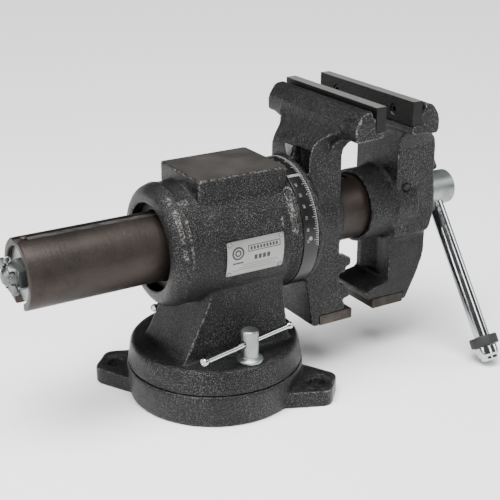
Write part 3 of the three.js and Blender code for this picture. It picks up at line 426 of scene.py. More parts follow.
def rounded(corners, closed=False, steps=5):
    """Corners (u, v, radius): each corner with a radius becomes an arc."""
    out = []
    count = len(corners)
    for i, corner in enumerate(corners):
        u, v = corner[:2]
        radius = corner[2] if len(corner) > 2 else 0
        end = not closed and i in (0, count - 1)
        if radius <= 0 or end:
            out.append((u, v))
            continue
        here = Vector((u, v))
        before = Vector(corners[i - 1][:2]) - here
        after = Vector(corners[(i + 1) % count][:2]) - here
        a, b = before.normalized(), after.normalized()
        half = a.angle(b) / 2
        back = min(radius / math.tan(half), before.length * 0.49, after.length * 0.49)
        middle = here + (a + b).normalized() * (back / math.cos(half))
        r = back * math.tan(half)
        start = here + a * back - middle
        sweep = -start.angle_signed(here + b * back - middle)
        for step in range(steps + 1):
            angle = sweep * step / steps
            turned = Vector((start.x * math.cos(angle) - start.y * math.sin(angle),
                             start.x * math.sin(angle) + start.y * math.cos(angle)))
            out.append(tuple(middle + turned.normalized() * r))
    return out


def frame_of(direction):
    """Two unit vectors square to a direction, the first as near upright as it can be."""
    direction = Vector(direction).normalized()
    other = UPRIGHT if abs(direction.z) < 0.9 else ALONG_X
    across = direction.cross(other).normalized()
    return across.cross(direction).normalized(), across


def between_rings(rings, steps):
    """Faces between each ring of points and the next, once round."""
    faces = []
    for ring in range(rings - 1):
        for step in range(steps):
            a, b = ring * steps + step, ring * steps + (step + 1) % steps
            faces.append((a, b, b + steps, a + steps))
    return faces


def turned(name, profile, origin, direction, steps=72):
    """A profile of (radius, place along the axis) turned into a closed solid."""
    direction = Vector(direction).normalized()
    up, across = frame_of(direction)
    points = []
    for radius, along in profile:
        for step in range(steps):
            angle = 2 * math.pi * step / steps
            side = up * math.cos(angle) + across * math.sin(angle)
            points.append(Vector(origin) + direction * along + side * radius)
    faces = between_rings(len(profile), steps)
    if profile[0] != profile[-1]:
        for ring in (0, len(profile) - 1):
            if profile[ring][0] > 0.01:
                faces.append(tuple(ring * steps + step for step in range(steps)))
    made = raw(name, points, faces)
    tidy_faces(made)
    return made


def tidy_faces(made):
    """Drops faces and edges that closed up to nothing at an axis."""
    shell = bmesh.new()
    shell.from_mesh(made.data)
    bmesh.ops.dissolve_degenerate(shell, edges=shell.edges, dist=0.001 * MM)
    bmesh.ops.recalc_face_normals(shell, faces=shell.faces)
    shell.to_mesh(made.data)
    shell.free()


def prism(name, outline, origin, axes, depth):
    """An outline in two axes, pushed along the third by depth."""
    u_axis, v_axis, w_axis = (Vector(axis) for axis in axes)
    count = len(outline)
    points = []
    for level in (0, depth):
        points += [Vector(origin) + u_axis * u + v_axis * v + w_axis * level for u, v in outline]
    faces = [tuple(range(count)), tuple(range(count, 2 * count))]
    faces += [(i, (i + 1) % count, count + (i + 1) % count, count + i) for i in range(count)]
    return raw(name, points, faces)


def bake_modifiers(made):
    """Applies an object's modifiers to its mesh."""
    mesh = shape_of(made)
    made.modifiers.clear()
    made.data = mesh


def combine(made, tools, operation="DIFFERENCE"):
    """Cuts the tools from an object, or joins or intersects them, and removes them."""
    for tool in tools:
        step = made.modifiers.new("combine", "BOOLEAN")
        step.operation = operation
        step.solver = "EXACT"
        step.object = tool
    bake_modifiers(made)
    for tool in tools:
        bpy.data.objects.remove(tool)
    return made


def eased(made, width, segments=3, angle=30):
    """Rounds every sharp edge by a width in millimetres."""
    step = made.modifiers.new("ease", "BEVEL")
    step.width = width * MM
    step.segments = segments
    step.limit_method = "ANGLE"
    step.angle_limit = math.radians(angle)
    bake_modifiers(made)
    return made


def finish_piece(made, body, materials, replaced=(), sharp=38):
    """Smooth shading, material, body and the nodes that the piece stands for."""
    mesh = made.data
    if not mesh.materials:
        for material in materials:
            mesh.materials.append(material)
    for polygon in mesh.polygons:
        polygon.use_smooth = True
    mesh.set_sharp_from_angle(angle=math.radians(sharp))
    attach(made, body)
    if replaced:
        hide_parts(*replaced)
    return made


def paint(made, index, chosen):
    """Gives material `index` to the faces whose centre (mm) and normal pass the test."""
    for polygon in made.data.polygons:
        if chosen(polygon.center / MM, polygon.normal):
            polygon.material_index = index


# ---------------------------------------------------------------- castings
def vertex_points(mesh):
    points = np.empty(len(mesh.vertices) * 3, np.float64)
    mesh.vertices.foreach_get("co", points)
    return points.reshape(-1, 3) / MM


def set_points(mesh, points):
    mesh.vertices.foreach_set("co", (points * MM).astype(np.float32).ravel())
    mesh.update()


def vertex_normals(mesh):
    normals = np.empty(len(mesh.vertices) * 3, np.float32)
    mesh.vertex_normals.foreach_get("vector", normals)
    return normals.reshape(-1, 3).astype(np.float64)


class Neighbours:
    """Average of each vertex's neighbours, along the mesh edges."""

    def __init__(self, mesh):
        edges = np.empty(len(mesh.edges) * 2, np.int64)
        mesh.edges.foreach_get("vertices", edges)
        edges = edges.reshape(-1, 2)
        self.start = np.concatenate([edges[:, 0], edges[:, 1]])
        self.end = np.concatenate([edges[:, 1], edges[:, 0]])
        self.total = len(mesh.vertices)
        self.count = np.maximum(np.bincount(self.start, minlength=self.total), 1)

    def mean(self, values):
        if values.ndim == 1:
            return np.bincount(self.start, values[self.end], self.total) / self.count
        columns = [np.bincount(self.start, values[self.end, i], self.total) for i in range(values.shape[1])]
        return np.stack(columns, 1) / self.count[:, None]


def true_round(points, centre, axis, facets, low, high, reach):
    """Moves a turned surface of flat facets out to its true circle, between two radii and two ends."""
    others = [i for i in range(3) if i != axis]
    flat = points[:, others] - np.array([centre[i] for i in others])
    radius = np.hypot(flat[:, 0], flat[:, 1])
    angle = np.arctan2(flat[:, 0], flat[:, 1])
    step = 2 * math.pi / facets
    from_middle = (angle / step % 1 - 0.5) * step
    stretch = np.cos(from_middle) / math.cos(step / 2)
    inside = (radius > low) & (radius < high) & (points[:, axis] > reach[0]) & (points[:, axis] < reach[1])
    scale = np.where(inside, stretch, 1.0)
    points[:, others] = flat * scale[:, None] + np.array([centre[i] for i in others])


def lumps(points, length, seed):
    """Gentle unevenness of a sand casting, about -1 to 1, with bumps of about that length."""
    draw = np.random.default_rng(seed)
    total = np.zeros(len(points))
    waves = 9
    for _ in range(waves):
        way = draw.normal(size=3)
        way *= 2 * math.pi / length / np.linalg.norm(way) * draw.uniform(0.7, 1.4)
        total += np.sin(points @ way + draw.uniform(0, 2 * math.pi))
    return total / math.sqrt(waves)


# stores per vertex the mask of scuffed edges and painted highlight
def give_wear(mesh, wear_and_highlight):
    attribute = mesh.attributes.new("edge_wear_and_highlight", "FLOAT", "POINT")
    attribute.data.foreach_set("value", wear_and_highlight.astype(np.float32))


def cast(node, body, voxel, rounds, circles, flats=(), highlight_streaks=None):
    """A casting from its CAD node: finely remeshed, true-rounded, its edges and inner corners softened.

    circles are the turned surfaces, flats are machined planes (axis, place, reach) that stay flat,
    and the last argument gives painted highlight streaks, light bare colour where the rim and ridges catch
    the lamps.
    """
    source = NODES[node]
    low, high = (np.array(corner) for corner in span(node))
    made = placed(node + "_casting", source.data.copy())
    made.data.materials.clear()
    shell = bmesh.new()
    shell.from_mesh(made.data)
    join_touching(shell)
    shell.to_mesh(made.data)
    shell.free()
    step = made.modifiers.new("remesh", "REMESH")
    step.mode = "VOXEL"
    step.voxel_size = voxel * MM
    bake_modifiers(made)
    mesh = made.data
    points = vertex_points(mesh)
    for circle in circles:
        true_round(points, *circle)
    around = Neighbours(mesh)
    set_points(mesh, points)
    normals = vertex_normals(mesh)
    # inner corners get a wider fillet than outer edges
    hollow = ((around.mean(points) - points) * normals).sum(1) / voxel
    fillet = np.clip((hollow - 0.04) * 12, 0, 1)
    for _ in range(5):
        fillet = np.maximum(fillet, around.mean(fillet) * 1.25)
    fillet = np.clip(fillet, 0, 1)
    for turn in range(rounds * 3):
        share = 0.5 * fillet if turn >= rounds else np.full(len(points), 0.5)
        points += (around.mean(points) - points) * share[:, None]
    machined = np.zeros(len(points), bool)
    for axis, place, reach in flats:
        near = np.abs(points[:, axis] - place) < reach
        points[near, axis] = place
        machined |= near
    set_points(mesh, points)
    normals = vertex_normals(mesh)
    rise = 0.09 * lumps(points, 34, 3) + 0.05 * lumps(points, 9, 5)
    points += normals * np.where(machined, 0, rise)[:, None]
    points = np.clip(points, low, high)
    set_points(mesh, points)
    # light colour on convex edges: scuffed paint, partly painted highlight
    bulge = ((points - around.mean(points)) * vertex_normals(mesh)).sum(1) / voxel
    wear_and_highlight = np.clip(bulge * 6, 0, 1)
    wear_and_highlight = np.maximum(wear_and_highlight, around.mean(wear_and_highlight))
    wear_and_highlight[machined] = 0
    # painted highlight streaks join the same mask
    if highlight_streaks:
        wear_and_highlight = np.maximum(wear_and_highlight, highlight_streaks(points))
    give_wear(mesh, wear_and_highlight)
    finish_piece(made, body, [ENAMEL, ANVIL_IRON, BORE_IRON], [node], sharp=180)
    return made


def fettled_rim(points):
    """Painted highlight streaks round the rear rim, its ridge and the front flange, and a painted highlight
    patch by the anvil's corner, from the top of the barrel towards the near side.
    """
    turn = np.degrees(np.arctan2(-points[:, 1], points[:, 2] - AXIS_Z))
    broken = 0.5 + 0.5 * lumps(points, 16, 11)
    total = np.zeros(len(points))
    for middle, half, first, last in ((-58.5, 2.4, 18, 96), (-51.5, 1.5, 25, 100), (-45, 5.5, 26, 43),
                                      (53.5, 2.6, 46, 88)):
        across = np.clip(1.6 - np.abs(points[:, 0] - middle) / half, 0, 1)
        along = np.clip(np.minimum(turn - first, last - turn) / 9, 0, 1)
        total = np.maximum(total, across * along * np.clip(0.45 + 0.6 * broken, 0, 1))
    return total


def radius_from_spindle(point):
    return math.hypot(point.y, point.z - AXIS_Z)


SPINDLE_LINE = (0, 0, AXIS_Z)
BIG_FACETS, MID_FACETS = 44, 34
VOXEL = 1.1
BORE_R, TUBE_BORE_R = 38.8, 33.6
MILLED, BORED = 1, 2  # places of these finishes on a casting; 0 is the enamel


def make_castings():
    base_rim = ((0, 0, 0), 2, BIG_FACETS, 78, 86, (-1, 40))
    base = cast("swivel_base", "base", VOXEL, 3, [base_rim])
    seat = span("swivel_base")[1].z - 0.8
    paint(base, BORED, lambda p, n: p.z > seat and n.z > 0.9)

    low, high = span("body_casting")
    top = high.z
    barrel = (SPINDLE_LINE, 0, BIG_FACETS, 41.5, 63, (low.x - 1, 79))
    bore = (SPINDLE_LINE, 0, MID_FACETS, 36, 41.4, (low.x - 1, 79))
    turntable = ((0, 0, 0), 2, BIG_FACETS, 77, 85, (30, 58))
    anvil_top = (2, top, 0.5)
    # the body's mask also carries painted highlight streaks round the barrel rim
    body = cast("body_casting", "turntable", VOXEL * 1.14, 3, [barrel, bore, turntable],
                flats=[anvil_top], highlight_streaks=fettled_rim)
    # the oval and the bead are light all over: partly scuffed paint, partly painted highlight
    for detail in (oval_mark(), barrel_bead()):
        give_wear(detail.data, np.full(len(detail.data.vertices), 0.85))
        finish_piece(detail, "turntable", [ENAMEL])
    paint(body, MILLED, lambda p, n: p.z > top - 0.3 and n.z > 0.7)
    # the bore and the barrel mouth get the near-black bored finish, partly painted shade
    paint(body, BORED, lambda p, n: radius_from_spindle(p) < BORE_R + 3 and p.x > -66)

    flange = (SPINDLE_LINE, 0, BIG_FACETS, 53, 63, (77, 88))
    sleeve = (SPINDLE_LINE, 0, MID_FACETS, 30, 39, (-60, 127))
    head = cast("static_jaw", "static_head", VOXEL * 1.1, 3, [flange, sleeve])
    sleeve_end = 76
    paint(head, BORED, lambda p, n: radius_from_spindle(p) < (BORE_R if p.x < sleeve_end else TUBE_BORE_R))

    collar = (SPINDLE_LINE, 0, MID_FACETS, 30, 40, (156, 189))
    jaw = cast("moving_jaw", "moving_head", VOXEL, 3, [collar])
    paint(jaw, BORED, lambda p, n: radius_from_spindle(p) < TUBE_BORE_R and p.x < 215)


def on_barrel(x, angle, radius):
    """A point at an angle from the top of the barrel towards the near side."""
    return Vector((x, -radius * math.sin(angle), AXIS_Z + radius * math.cos(angle)))


BARREL_R = 57


def oval_mark():
    """A small raised oval loop, cast on the barrel beside the dial."""
    points, faces = [], []
    around, section = 28, 8
    wire_r, middle_x, middle_turn = 0.9, 54.8, math.radians(46)
    for i in range(around):
        turn = 2 * math.pi * i / around
        u, v = 6.2 * math.sin(turn), 3.3 * math.cos(turn)
        for j in range(section):
            tube = 2 * math.pi * j / section
            grow = 1 + wire_r * math.cos(tube) / 4.3
            x = middle_x + v * grow
            flare = BARREL_R + 5 * min(1, max(0, (x - 50.5) / 8))
            points.append(on_barrel(x, middle_turn + u * grow / BARREL_R,
                                    flare + 0.3 + wire_r * math.sin(tube)))
    for i in range(around):
        for j in range(section):
            k, m = (i + 1) % around, (j + 1) % section
            faces.append((i * section + j, i * section + m, k * section + m, k * section + j))
    return raw("oval_mark", points, faces)


def barrel_bead():
    """A short raised bead that runs part of the way round the barrel."""
    outline = rounded([(-1.2, -1, 0), (-0.9, 0.8, 0.5), (0.9, 0.8, 0.5), (1.2, -1, 0)], closed=True)
    steps = 10
    points = []
    count = len(outline)
    for i in range(steps + 1):
        angle = math.radians(62 + 14 * i / steps)
        ease = math.sin(math.pi * i / steps) ** 0.5
        for u, v in outline:
            points.append(on_barrel(42.5 + u, angle, BARREL_R + v * ease - 0.4))
    faces = between_rings(steps + 1, count)
    faces += [tuple(range(count)), tuple(range(steps * count, (steps + 1) * count))]
    return raw("barrel_bead", points, faces)


# ---------------------------------------------------------------- slide tube and its rear end
TUBE_R = 32.2
KEYWAY_HALF, KEYWAY_DEEP = 6, 2.6
COTTER_IN = 2.4


def make_tube():
    low, high = span("slide_tube")
    wall = 7
    inner = TUBE_R - wall
    floor = AXIS_Z + TUBE_R - KEYWAY_DEEP
    partition = low.x + 9.3
    profile = rounded([
        (inner, low.x + 0.8, 0), (inner + 0.8, low.x, 0.3), (TUBE_R - 1.2, low.x, 0.6),
        (TUBE_R, low.x + 1.2, 0.6), (TUBE_R, high.x, 0), (inner, high.x, 0),
        (inner, partition + 7, 0), (12.4, partition + 7, 0), (12.4, partition, 0),
        (inner, partition, 0), (inner, low.x + 0.8, 0)])
    tube = turned("slide_tube_ground", profile, SPINDLE_LINE, ALONG_X, 128)
    keyway_end = 149
    length = keyway_end - low.x + 1
    keyway = block("keyway", (low.x - 1, -KEYWAY_HALF, floor), (length, 2 * KEYWAY_HALF, 6))
    slot = block("slot", (low.x - 1, -10, AXIS_Z - TUBE_R - 1), (length, 20, wall + 4))
    stop = turned("stop_hole", [(0, 0), (2.8, 0), (2.8, 40), (0, 40)], (low.x + 8, 0, AXIS_Z), UPRIGHT, 24)
    combine(tube, [keyway, slot, stop])
    eased(tube, 0.35, 2, 40)
    finish_piece(tube, "moving_head", [TUBE, KEYWAY], ["slide_tube"])
    paint(tube, 1, lambda p, n: p.x < 60 and abs(p.y) < KEYWAY_HALF + 0.05 and abs(p.z - floor) < 0.4
          and n.z > 0.8)


def block(name, low, size):
    """A square-cornered block from its lowest corner and its three sizes."""
    outline = [(0, 0), (size[0], 0), (size[0], size[1]), (0, size[1])]
    return prism(name, outline, low, ((1, 0, 0), (0, 1, 0), (0, 0, 1)), size[2])


def make_rear_end():
    tube_end = span("slide_tube")[0].x
    washer_x = tube_end + 4
    washer = turned("rear_washer_plate", rounded([
        (9.9, washer_x + 5), (9.9, washer_x, 0.4), (24.9, washer_x, 0.8), (24.9, washer_x + 5),
        (9.9, washer_x + 5)]), SPINDLE_LINE, ALONG_X, 96)
    finish_piece(washer, "screw", [ZINC], ["rear_washer"])
    nut_x1 = washer_x - 0.3
    nut_x0 = nut_x1 - 13.5
    make_castle_nut(nut_x0, nut_x1)
    make_cotter(nut_x0 + COTTER_IN)
    stop_x = tube_end + 8
    top = AXIS_Z + TUBE_R
    screw = turned("stop_screw_domed", rounded([
        (0, -7), (2.5, -7), (2.5, -2.3), (3.2, -2.3), (3.2, 0.1, 0.3), (2.2, 1.2, 0.7), (0, 1.3)]),
        (stop_x, 0, top), UPRIGHT, 40)
    finish_piece(screw, "moving_head", [PAD], ["stop_screw"])


def make_castle_nut(x0, x1):
    across, crown = 26, 6
    thread_r, slot_half = 9.8, 2.2
    corner = across / math.sqrt(3)
    hexagon = [(corner * math.cos(math.radians(60 * i)), corner * math.sin(math.radians(60 * i)))
               for i in range(6)]
    nut = prism("castle_nut_slotted", hexagon, (x0 + crown, 0, AXIS_Z),
                ((0, 0, 1), (0, 1, 0), (1, 0, 0)), x1 - x0 - crown)
    cone = turned("cone", [(0, -1), (across / 2 - 0.4, -1), (across / 2 - 0.4, 0), (across / 2 + 2.4, 1.8),
                           (across / 2 + 2.4, 9), (0, 9)], (x0 + crown, 0, AXIS_Z), ALONG_X, 72)
    combine(nut, [cone], "INTERSECT")
    ring = turned("crown", rounded([(0, 0), (11.9, 0, 0.8), (11.9, crown + 0.4), (0, crown + 0.4)]),
                  (x0, 0, AXIS_Z), ALONG_X, 72)
    combine(nut, [ring], "UNION")
    tools = [turned("thread_hole", [(0, -1), (thread_r, -1), (thread_r, 20), (0, 20)], (x0, 0, AXIS_Z),
                    ALONG_X, 64)]
    for turn in (0, 60, 120):
        way = Vector((0, math.sin(math.radians(turn)), math.cos(math.radians(turn))))
        side = way.cross(ALONG_X)
        outline = rounded([(-1, -slot_half), (crown - 1.2, -slot_half, 1.6), (crown - 1.2, slot_half, 1.6),
                           (-1, slot_half)], True)
        tools.append(prism("slot", outline, Vector((x0, 0, AXIS_Z)) - way * 20, (ALONG_X, side, way), 40))
    combine(nut, tools)
    eased(nut, 0.3, 2, 35)
    finish_piece(nut, "screw", [ZINC_DULL], ["castle_nut"])


def make_cotter(x):
    """A split pin: an eye above, two legs through the spindle, one bent back, one bent forward."""
    reach, r, eye_r = 12.8, 0.8, 2.6
    eye = [(x + eye_r * math.sin(math.radians(a)), 0,
            AXIS_Z + reach + 2.2 - eye_r * math.cos(math.radians(a))) for a in range(20, 341, 20)]
    legs = [[(x, s * 0.75, AXIS_Z + reach - 0.6), (x, s * 0.75, AXIS_Z - reach + 2),
             (x - 0.3, s * 1.1, AXIS_Z - reach - 0.6), (x + bend * 0.35, s * 2.2, AXIS_Z - reach - 1.8),
             (x + bend, s * 4.6, AXIS_Z - reach - 1.4)] for s, bend in ((1, 2.2), (-1, 1.6))]
    parts = [wire("eye", eye, r)] + [wire("leg", path, r * 0.72) for path in legs]
    pin = join_pieces("cotter_pin_split", parts)
    finish_piece(pin, "screw", [ZINC], ["cotter_pin"], sharp=60)


def wire(name, path, radius):
    """A round wire along a smooth path."""
    curve = bpy.data.curves.new(name, "CURVE")
    curve.dimensions = "3D"
    curve.bevel_depth = radius * MM
    curve.bevel_resolution = 4
    curve.use_fill_caps = True
    spline = curve.splines.new("NURBS")
    spline.points.add(len(path) - 1)
    for point, place in zip(spline.points, path):
        point.co = (*[value * MM for value in place], 1)
    spline.use_endpoint_u = True
    spline.order_u = 3
    made = placed(name, curve)
    mesh = shape_of(made)
    bpy.data.objects.remove(made)
    return placed(name, mesh)


def join_pieces(name, parts):
    """Several closed shells in one object."""
    shell = bmesh.new()
    for part in parts:
        shell.from_mesh(part.data)
        bpy.data.objects.remove(part)
    mesh = bpy.data.meshes.new(name)
    shell.to_mesh(mesh)
    shell.free()
    return placed(name, mesh)


# ---------------------------------------------------------------- spindle and handle
HANDLE_X = 260
HANDLE_WAY = Vector(JOINTS["handle_slide"]["axis"])
HEAD_R = 17.9


def make_spindle():
    low, high = span("spindle")
    head = 243.7
    shaft_r, root_r, lead = 12, 9.9, 6
    tail_end, thread_x0, thread_x1 = -182, -172, 200
    tail = rounded([(0, low.x), (5.5, low.x + 0.6, 2), (8.6, low.x + 4, 2), (9.5, low.x + 12),
                    (9.5, tail_end), (shaft_r, tail_end, 0), (shaft_r, thread_x0)])
    front = rounded([(shaft_r, thread_x1), (shaft_r, head), (HEAD_R + 0.6, head, 0.4),
                     (HEAD_R + 0.6, head + 4, 0.6), (HEAD_R, head + 5, 0.6), (HEAD_R, high.x - 1.8, 1.6),
                     (HEAD_R - 2, high.x, 1.6), (0, high.x)])
    steps = 48
    rows = [[(x, r)] * steps for r, x in tail]
    pitch_rows = 1.0
    x = thread_x0 + pitch_rows
    while x < thread_x1 - 0.5:
        ring = []
        for step in range(steps):
            phase = (x / lead - step / steps) % 1
            # trapezoidal thread: flat crest, sloping flank, flat root
            depth = min(1, max(0, (abs(phase - 0.5) - 0.15) / 0.18))
            ring.append((x, root_r + (shaft_r - root_r) * (1 - depth)))
        rows.append(ring)
        x += pitch_rows
    rows += [[(x, r)] * steps for r, x in front]
    points = []
    for ring in rows:
        for step, (along, radius) in enumerate(ring):
            angle = 2 * math.pi * step / steps
            points.append((along, radius * math.sin(angle), AXIS_Z + radius * math.cos(angle)))
    spindle = raw("spindle_turned", points, between_rings(len(rows), steps))
    tidy_faces(spindle)
    cross = turned("cross", rounded([(0, -40), (8.4, -40), (8.4, 40), (0, 40)]),
                   (HANDLE_X, 0, AXIS_Z), HANDLE_WAY, 64)
    rims = [turned("rim", [(0, s * 22), (12.4, s * 22), (8.2, s * 16.6), (0, s * 16.6)],
                   (HANDLE_X, 0, AXIS_Z), HANDLE_WAY, 64) for s in (-1, 1)]
    pin = turned("pin", [(0, -20), (1.8, -20), (1.8, 20), (0, 20)],
                 (span("castle_nut")[0].x + COTTER_IN, 0, AXIS_Z), UPRIGHT, 24)
    combine(spindle, [cross, pin] + rims)
    finish_piece(spindle, "screw", [ZINC, ZINC_DULL], ["spindle"], sharp=40)
    paint(spindle, 1, lambda p, n: p.x < tail_end - 8)
    x = span("thrust_washer")[0].x
    washer = turned("thrust_washer_plate", rounded([
        (12.4, x + 2.6), (12.4, x, 0.3), (22, x, 0.6), (22, x + 2.6, 0.6), (12.4, x + 2.6)]),
        SPINDLE_LINE, ALONG_X, 72)
    finish_piece(washer, "screw", [ZINC], ["thrust_washer"])


def make_handle():
    centre = (HANDLE_X, 0, AXIS_Z)
    reach, cap, ring_l = 188, 15, 10.5
    rod_r, spigot_r = 8, 4.9
    upper_end = HEAD_R + 0.9 + ring_l + cap
    ends = {"lower": -reach, "upper": upper_end}
    rod = turned("handle_rod_plated", rounded([
        (0, -reach + cap - 8), (spigot_r, -reach + cap - 8), (spigot_r, -reach + cap + 0.3),
        (rod_r, -reach + cap + 0.3, 0.5), (rod_r, upper_end - cap - 0.3, 0.5),
        (spigot_r, upper_end - cap - 0.3), (spigot_r, upper_end - cap + 8),
        (0, upper_end - cap + 8)]), centre, HANDLE_WAY, 72)
    finish_piece(rod, "handle", [CHROME], ["handle_rod"])
    for side, end in ends.items():
        inward = 1 if side == "lower" else -1
        profile = rounded([(0, 0), (7.4, 0, 1.2), (9.0, 1.6, 0.8), (9.4, 4.4, 0.6), (11.2, 6.6, 0.8),
                           (11.2, cap, 0.6), (5.3, cap), (5.3, cap - 9.3), (0, cap - 9.3)])
        knob = turned(f"handle_cap_{side}_turned", [(r, end + inward * a) for r, a in profile],
                      centre, HANDLE_WAY, 72)
        finish_piece(knob, "handle", [CHROME], [f"handle_cap_{side}"])
        a, b = cap + 0.3, cap + ring_l
        ring = rounded([(8.3, a), (14.4, a, 1.6), (14.4, b, 1.6), (8.3, b), (8.3, a)])
        buffer = turned(f"handle_ring_{side}_moulded", [(r, end + inward * t) for r, t in ring],
                        centre, HANDLE_WAY, 72)
        finish_piece(buffer, "handle", [RUBBER], [f"handle_ring_{side}"])


# ---------------------------------------------------------------- locking screws and their bars
BAR_R, BAR_END_R = 2.7, 3.75


def swaged_bar(name, centre, way, length, body, node):
    """A sliding T-bar: a rod with both ends swaged into dished buttons."""
    half = length / 2
    end = [(0, 0.7), (2.1, 0.5, 0.3), (2.7, 0, 0.3), (BAR_END_R - 0.4, 0.1, 0.5), (BAR_END_R, 1.4, 0.6),
           (BAR_END_R, 3.4, 1.0), (BAR_R, 6.2, 1.5)]
    profile = [(p[0], -half + p[1], *p[2:]) for p in end]
    profile += [(p[0], half - p[1], *p[2:]) for p in reversed(end)]
    bar = turned(name, rounded(profile), centre, way, 40)
    finish_piece(bar, body, [CHROME], [node])


def bar_centre(node):
    low, high = span(node)
    return (low + high) / 2


def locking_screw(name, profile, origin, way, cross_way, cross_place, body, node):
    """A turned screw with a countersunk cross hole for its bar."""
    screw = turned(name, rounded(profile), origin, way, 72)
    hole = turned("hole", [(0, -30), (3, -30), (3, 30), (0, 30)], cross_place, cross_way, 36)
    rims = [turned("rim", [(0, s * 11), (6.2, s * 11), (2.9, s * 7.1), (0, s * 7.1)], cross_place,
                   cross_way, 36) for s in (-1, 1)]
    combine(screw, [hole] + rims)
    finish_piece(screw, body, [ZINC], [node], sharp=42)


def make_clamps():
    for side in ("near", "far"):
        x, y, bar_z = (value / MM for value in JOINTS[f"{side}_clamp_turn"]["pos_m"])
        way = Vector(JOINTS[f"{side}_bar_slide"]["axis"]).normalized()
        low, high = span(f"{side}_clamp_bolt")
        seat = 56
        flange = 12.5
        profile = [(0, low.z), (5, low.z), (5, seat), (flange - 0.6, seat, 0.4), (flange, seat + 0.8, 0.5),
                   (flange, seat + 2.6, 1.2), (flange - 2.4, seat + 4, 1.2), (8.5, seat + 4.5, 0.6),
                   (8.1, seat + 5.4, 0.6), (8.1, high.z - 1.4, 1.0), (7.0, high.z, 0.8), (0, high.z)]
        locking_screw(f"{side}_clamp_bolt_plated", profile, (x, y, 0), UPRIGHT, way, (x, y, bar_z),
                      f"{side}_clamp", f"{side}_clamp_bolt")
        swaged_bar(f"{side}_clamp_bar_plated", bar_centre(f"{side}_clamp_bar"), way, 112,
                   f"{side}_bar", f"{side}_clamp_bar")
    x, y, z = (value / MM for value in JOINTS["head_lock_turn"]["pos_m"])
    low, high = span("head_lock_screw")
    seat = 68.3
    profile = [(0, low.y), (5, low.y), (5, seat), (11, seat, 0.5), (11, seat + 3.2, 1.0),
               (7.4, seat + 4.2, 0.6), (7.2, seat + 6, 0.5), (7.2, high.y - 1.2, 0.9),
               (6.2, high.y, 0.8), (0, high.y)]
    locking_screw("head_lock_screw_plated", profile, (x, 0, z), (0, 1, 0), UPRIGHT, (x, y, z),
                  "head_lock", "head_lock_screw")
    swaged_bar("head_lock_bar_plated", bar_centre("head_lock_bar"), UPRIGHT, 80, "head_bar", "head_lock_bar")


# ---------------------------------------------------------------- jaw inserts, pads and their screws
SCREW_PLACES, SCREW_DROP = (-46, 46), 12.5
SINK_R, SHANK_R, SINK_DEEP = 5.5, 3.3, 5.3
EDGE_ON = ((1, 0, 0), (0, 0, 1), (0, 1, 0))


def make_insert(node, front, body):
    """A jaw insert with a face of raised diamonds; front is +1 if it grips towards +X."""
    low, high = span(node)
    face = high.x if front > 0 else low.x
    back = low.x if front > 0 else high.x
    half = high.y
    tooth_w, tooth_h, deep = 4.8, 2.9, 0.75
    plate = prism(node + "_serrated", rounded([
        (back, low.z, 0.6), (face, low.z, 0.5), (face, high.z, 0.5), (back, high.z, 0.6)], True),
        (0, -half, 0), EDGE_ON, 2 * half)
    points, faces = [], []
    ground = face - front * deep
    rows = int((high.z - low.z) / tooth_h) + 3
    for row in range(-1, rows):
        for column in range(-int(half / tooth_w) - 1, int(half / tooth_w) + 2):
            for shift in (0, 1):
                y = (column + 0.5 * shift) * tooth_w
                z = low.z + (row + 0.5 * shift) * tooth_h
                start = len(points)
                # each diamond is a low four-sided pyramid, and its tip reaches the face
                points += [(ground, y - tooth_w / 2, z), (ground, y, z - tooth_h / 2),
                           (ground, y + tooth_w / 2, z), (ground, y, z + tooth_h / 2),
                           (face + front * 0.02, y, z)]
                faces += [(start + a, start + (a + 1) % 4, start + 4) for a in range(4)]
    teeth = raw("teeth", points, faces)
    close_behind(teeth, back + front * 0.01)
    combine(plate, [teeth], "INTERSECT")
    tools = []
    for y in SCREW_PLACES:
        sink = [(0, 2), (SINK_R, 2), (SINK_R, -SINK_DEEP), (SHANK_R, -SINK_DEEP), (SHANK_R, -20), (0, -20)]
        tools.append(turned("sink", sink, (face, y, high.z - SCREW_DROP), (front, 0, 0), 40))
    combine(plate, tools)
    finish_piece(plate, body, [INSERT_DARK, INSERT], [node], sharp=25)
    # tops facing up get the ground finish; all other faces keep the near-black finish, partly painted shade
    paint(plate, 1, lambda p, n: n.z > 0.6)
    for i, y in enumerate(SCREW_PLACES):
        place = (face, y, high.z - SCREW_DROP)
        screw = turned(f"{node}_screw_{i + 1}_socket", rounded([
            (0, -1.2), (4.6, -1.2, 0.4), (5.2, -1.8, 0.4), (5.2, -5), (3, -5.2), (3, -21), (0, -21)]),
            place, (front, 0, 0), 40)
        key = turned("key", [(0, 2), (2.9, 2), (2.9, -3.6), (0, -3.6)], place, (front, 0, 0), 6)
        combine(screw, [key])
        finish_piece(screw, body, [INSERT_DARK], [f"{node}_screw_{i + 1}"], sharp=35)


def close_behind(made, x):
    """Closes an open sheet into a solid that reaches back to a plane of constant x."""
    shell = bmesh.new()
    shell.from_mesh(made.data)
    join_touching(shell, 5 * TOUCHING)
    rim = [edge for edge in shell.edges if edge.is_boundary]
    pushed = bmesh.ops.extrude_edge_only(shell, edges=rim)["geom"]
    moved = [item for item in pushed if isinstance(item, bmesh.types.BMVert)]
    for vertex in moved:
        vertex.co.x = x * MM
    new_rim = [edge for edge in shell.edges if edge.is_boundary]
    bmesh.ops.edgeloop_fill(shell, edges=new_rim)
    bmesh.ops.recalc_face_normals(shell, faces=shell.faces)
    shell.to_mesh(made.data)
    shell.free()


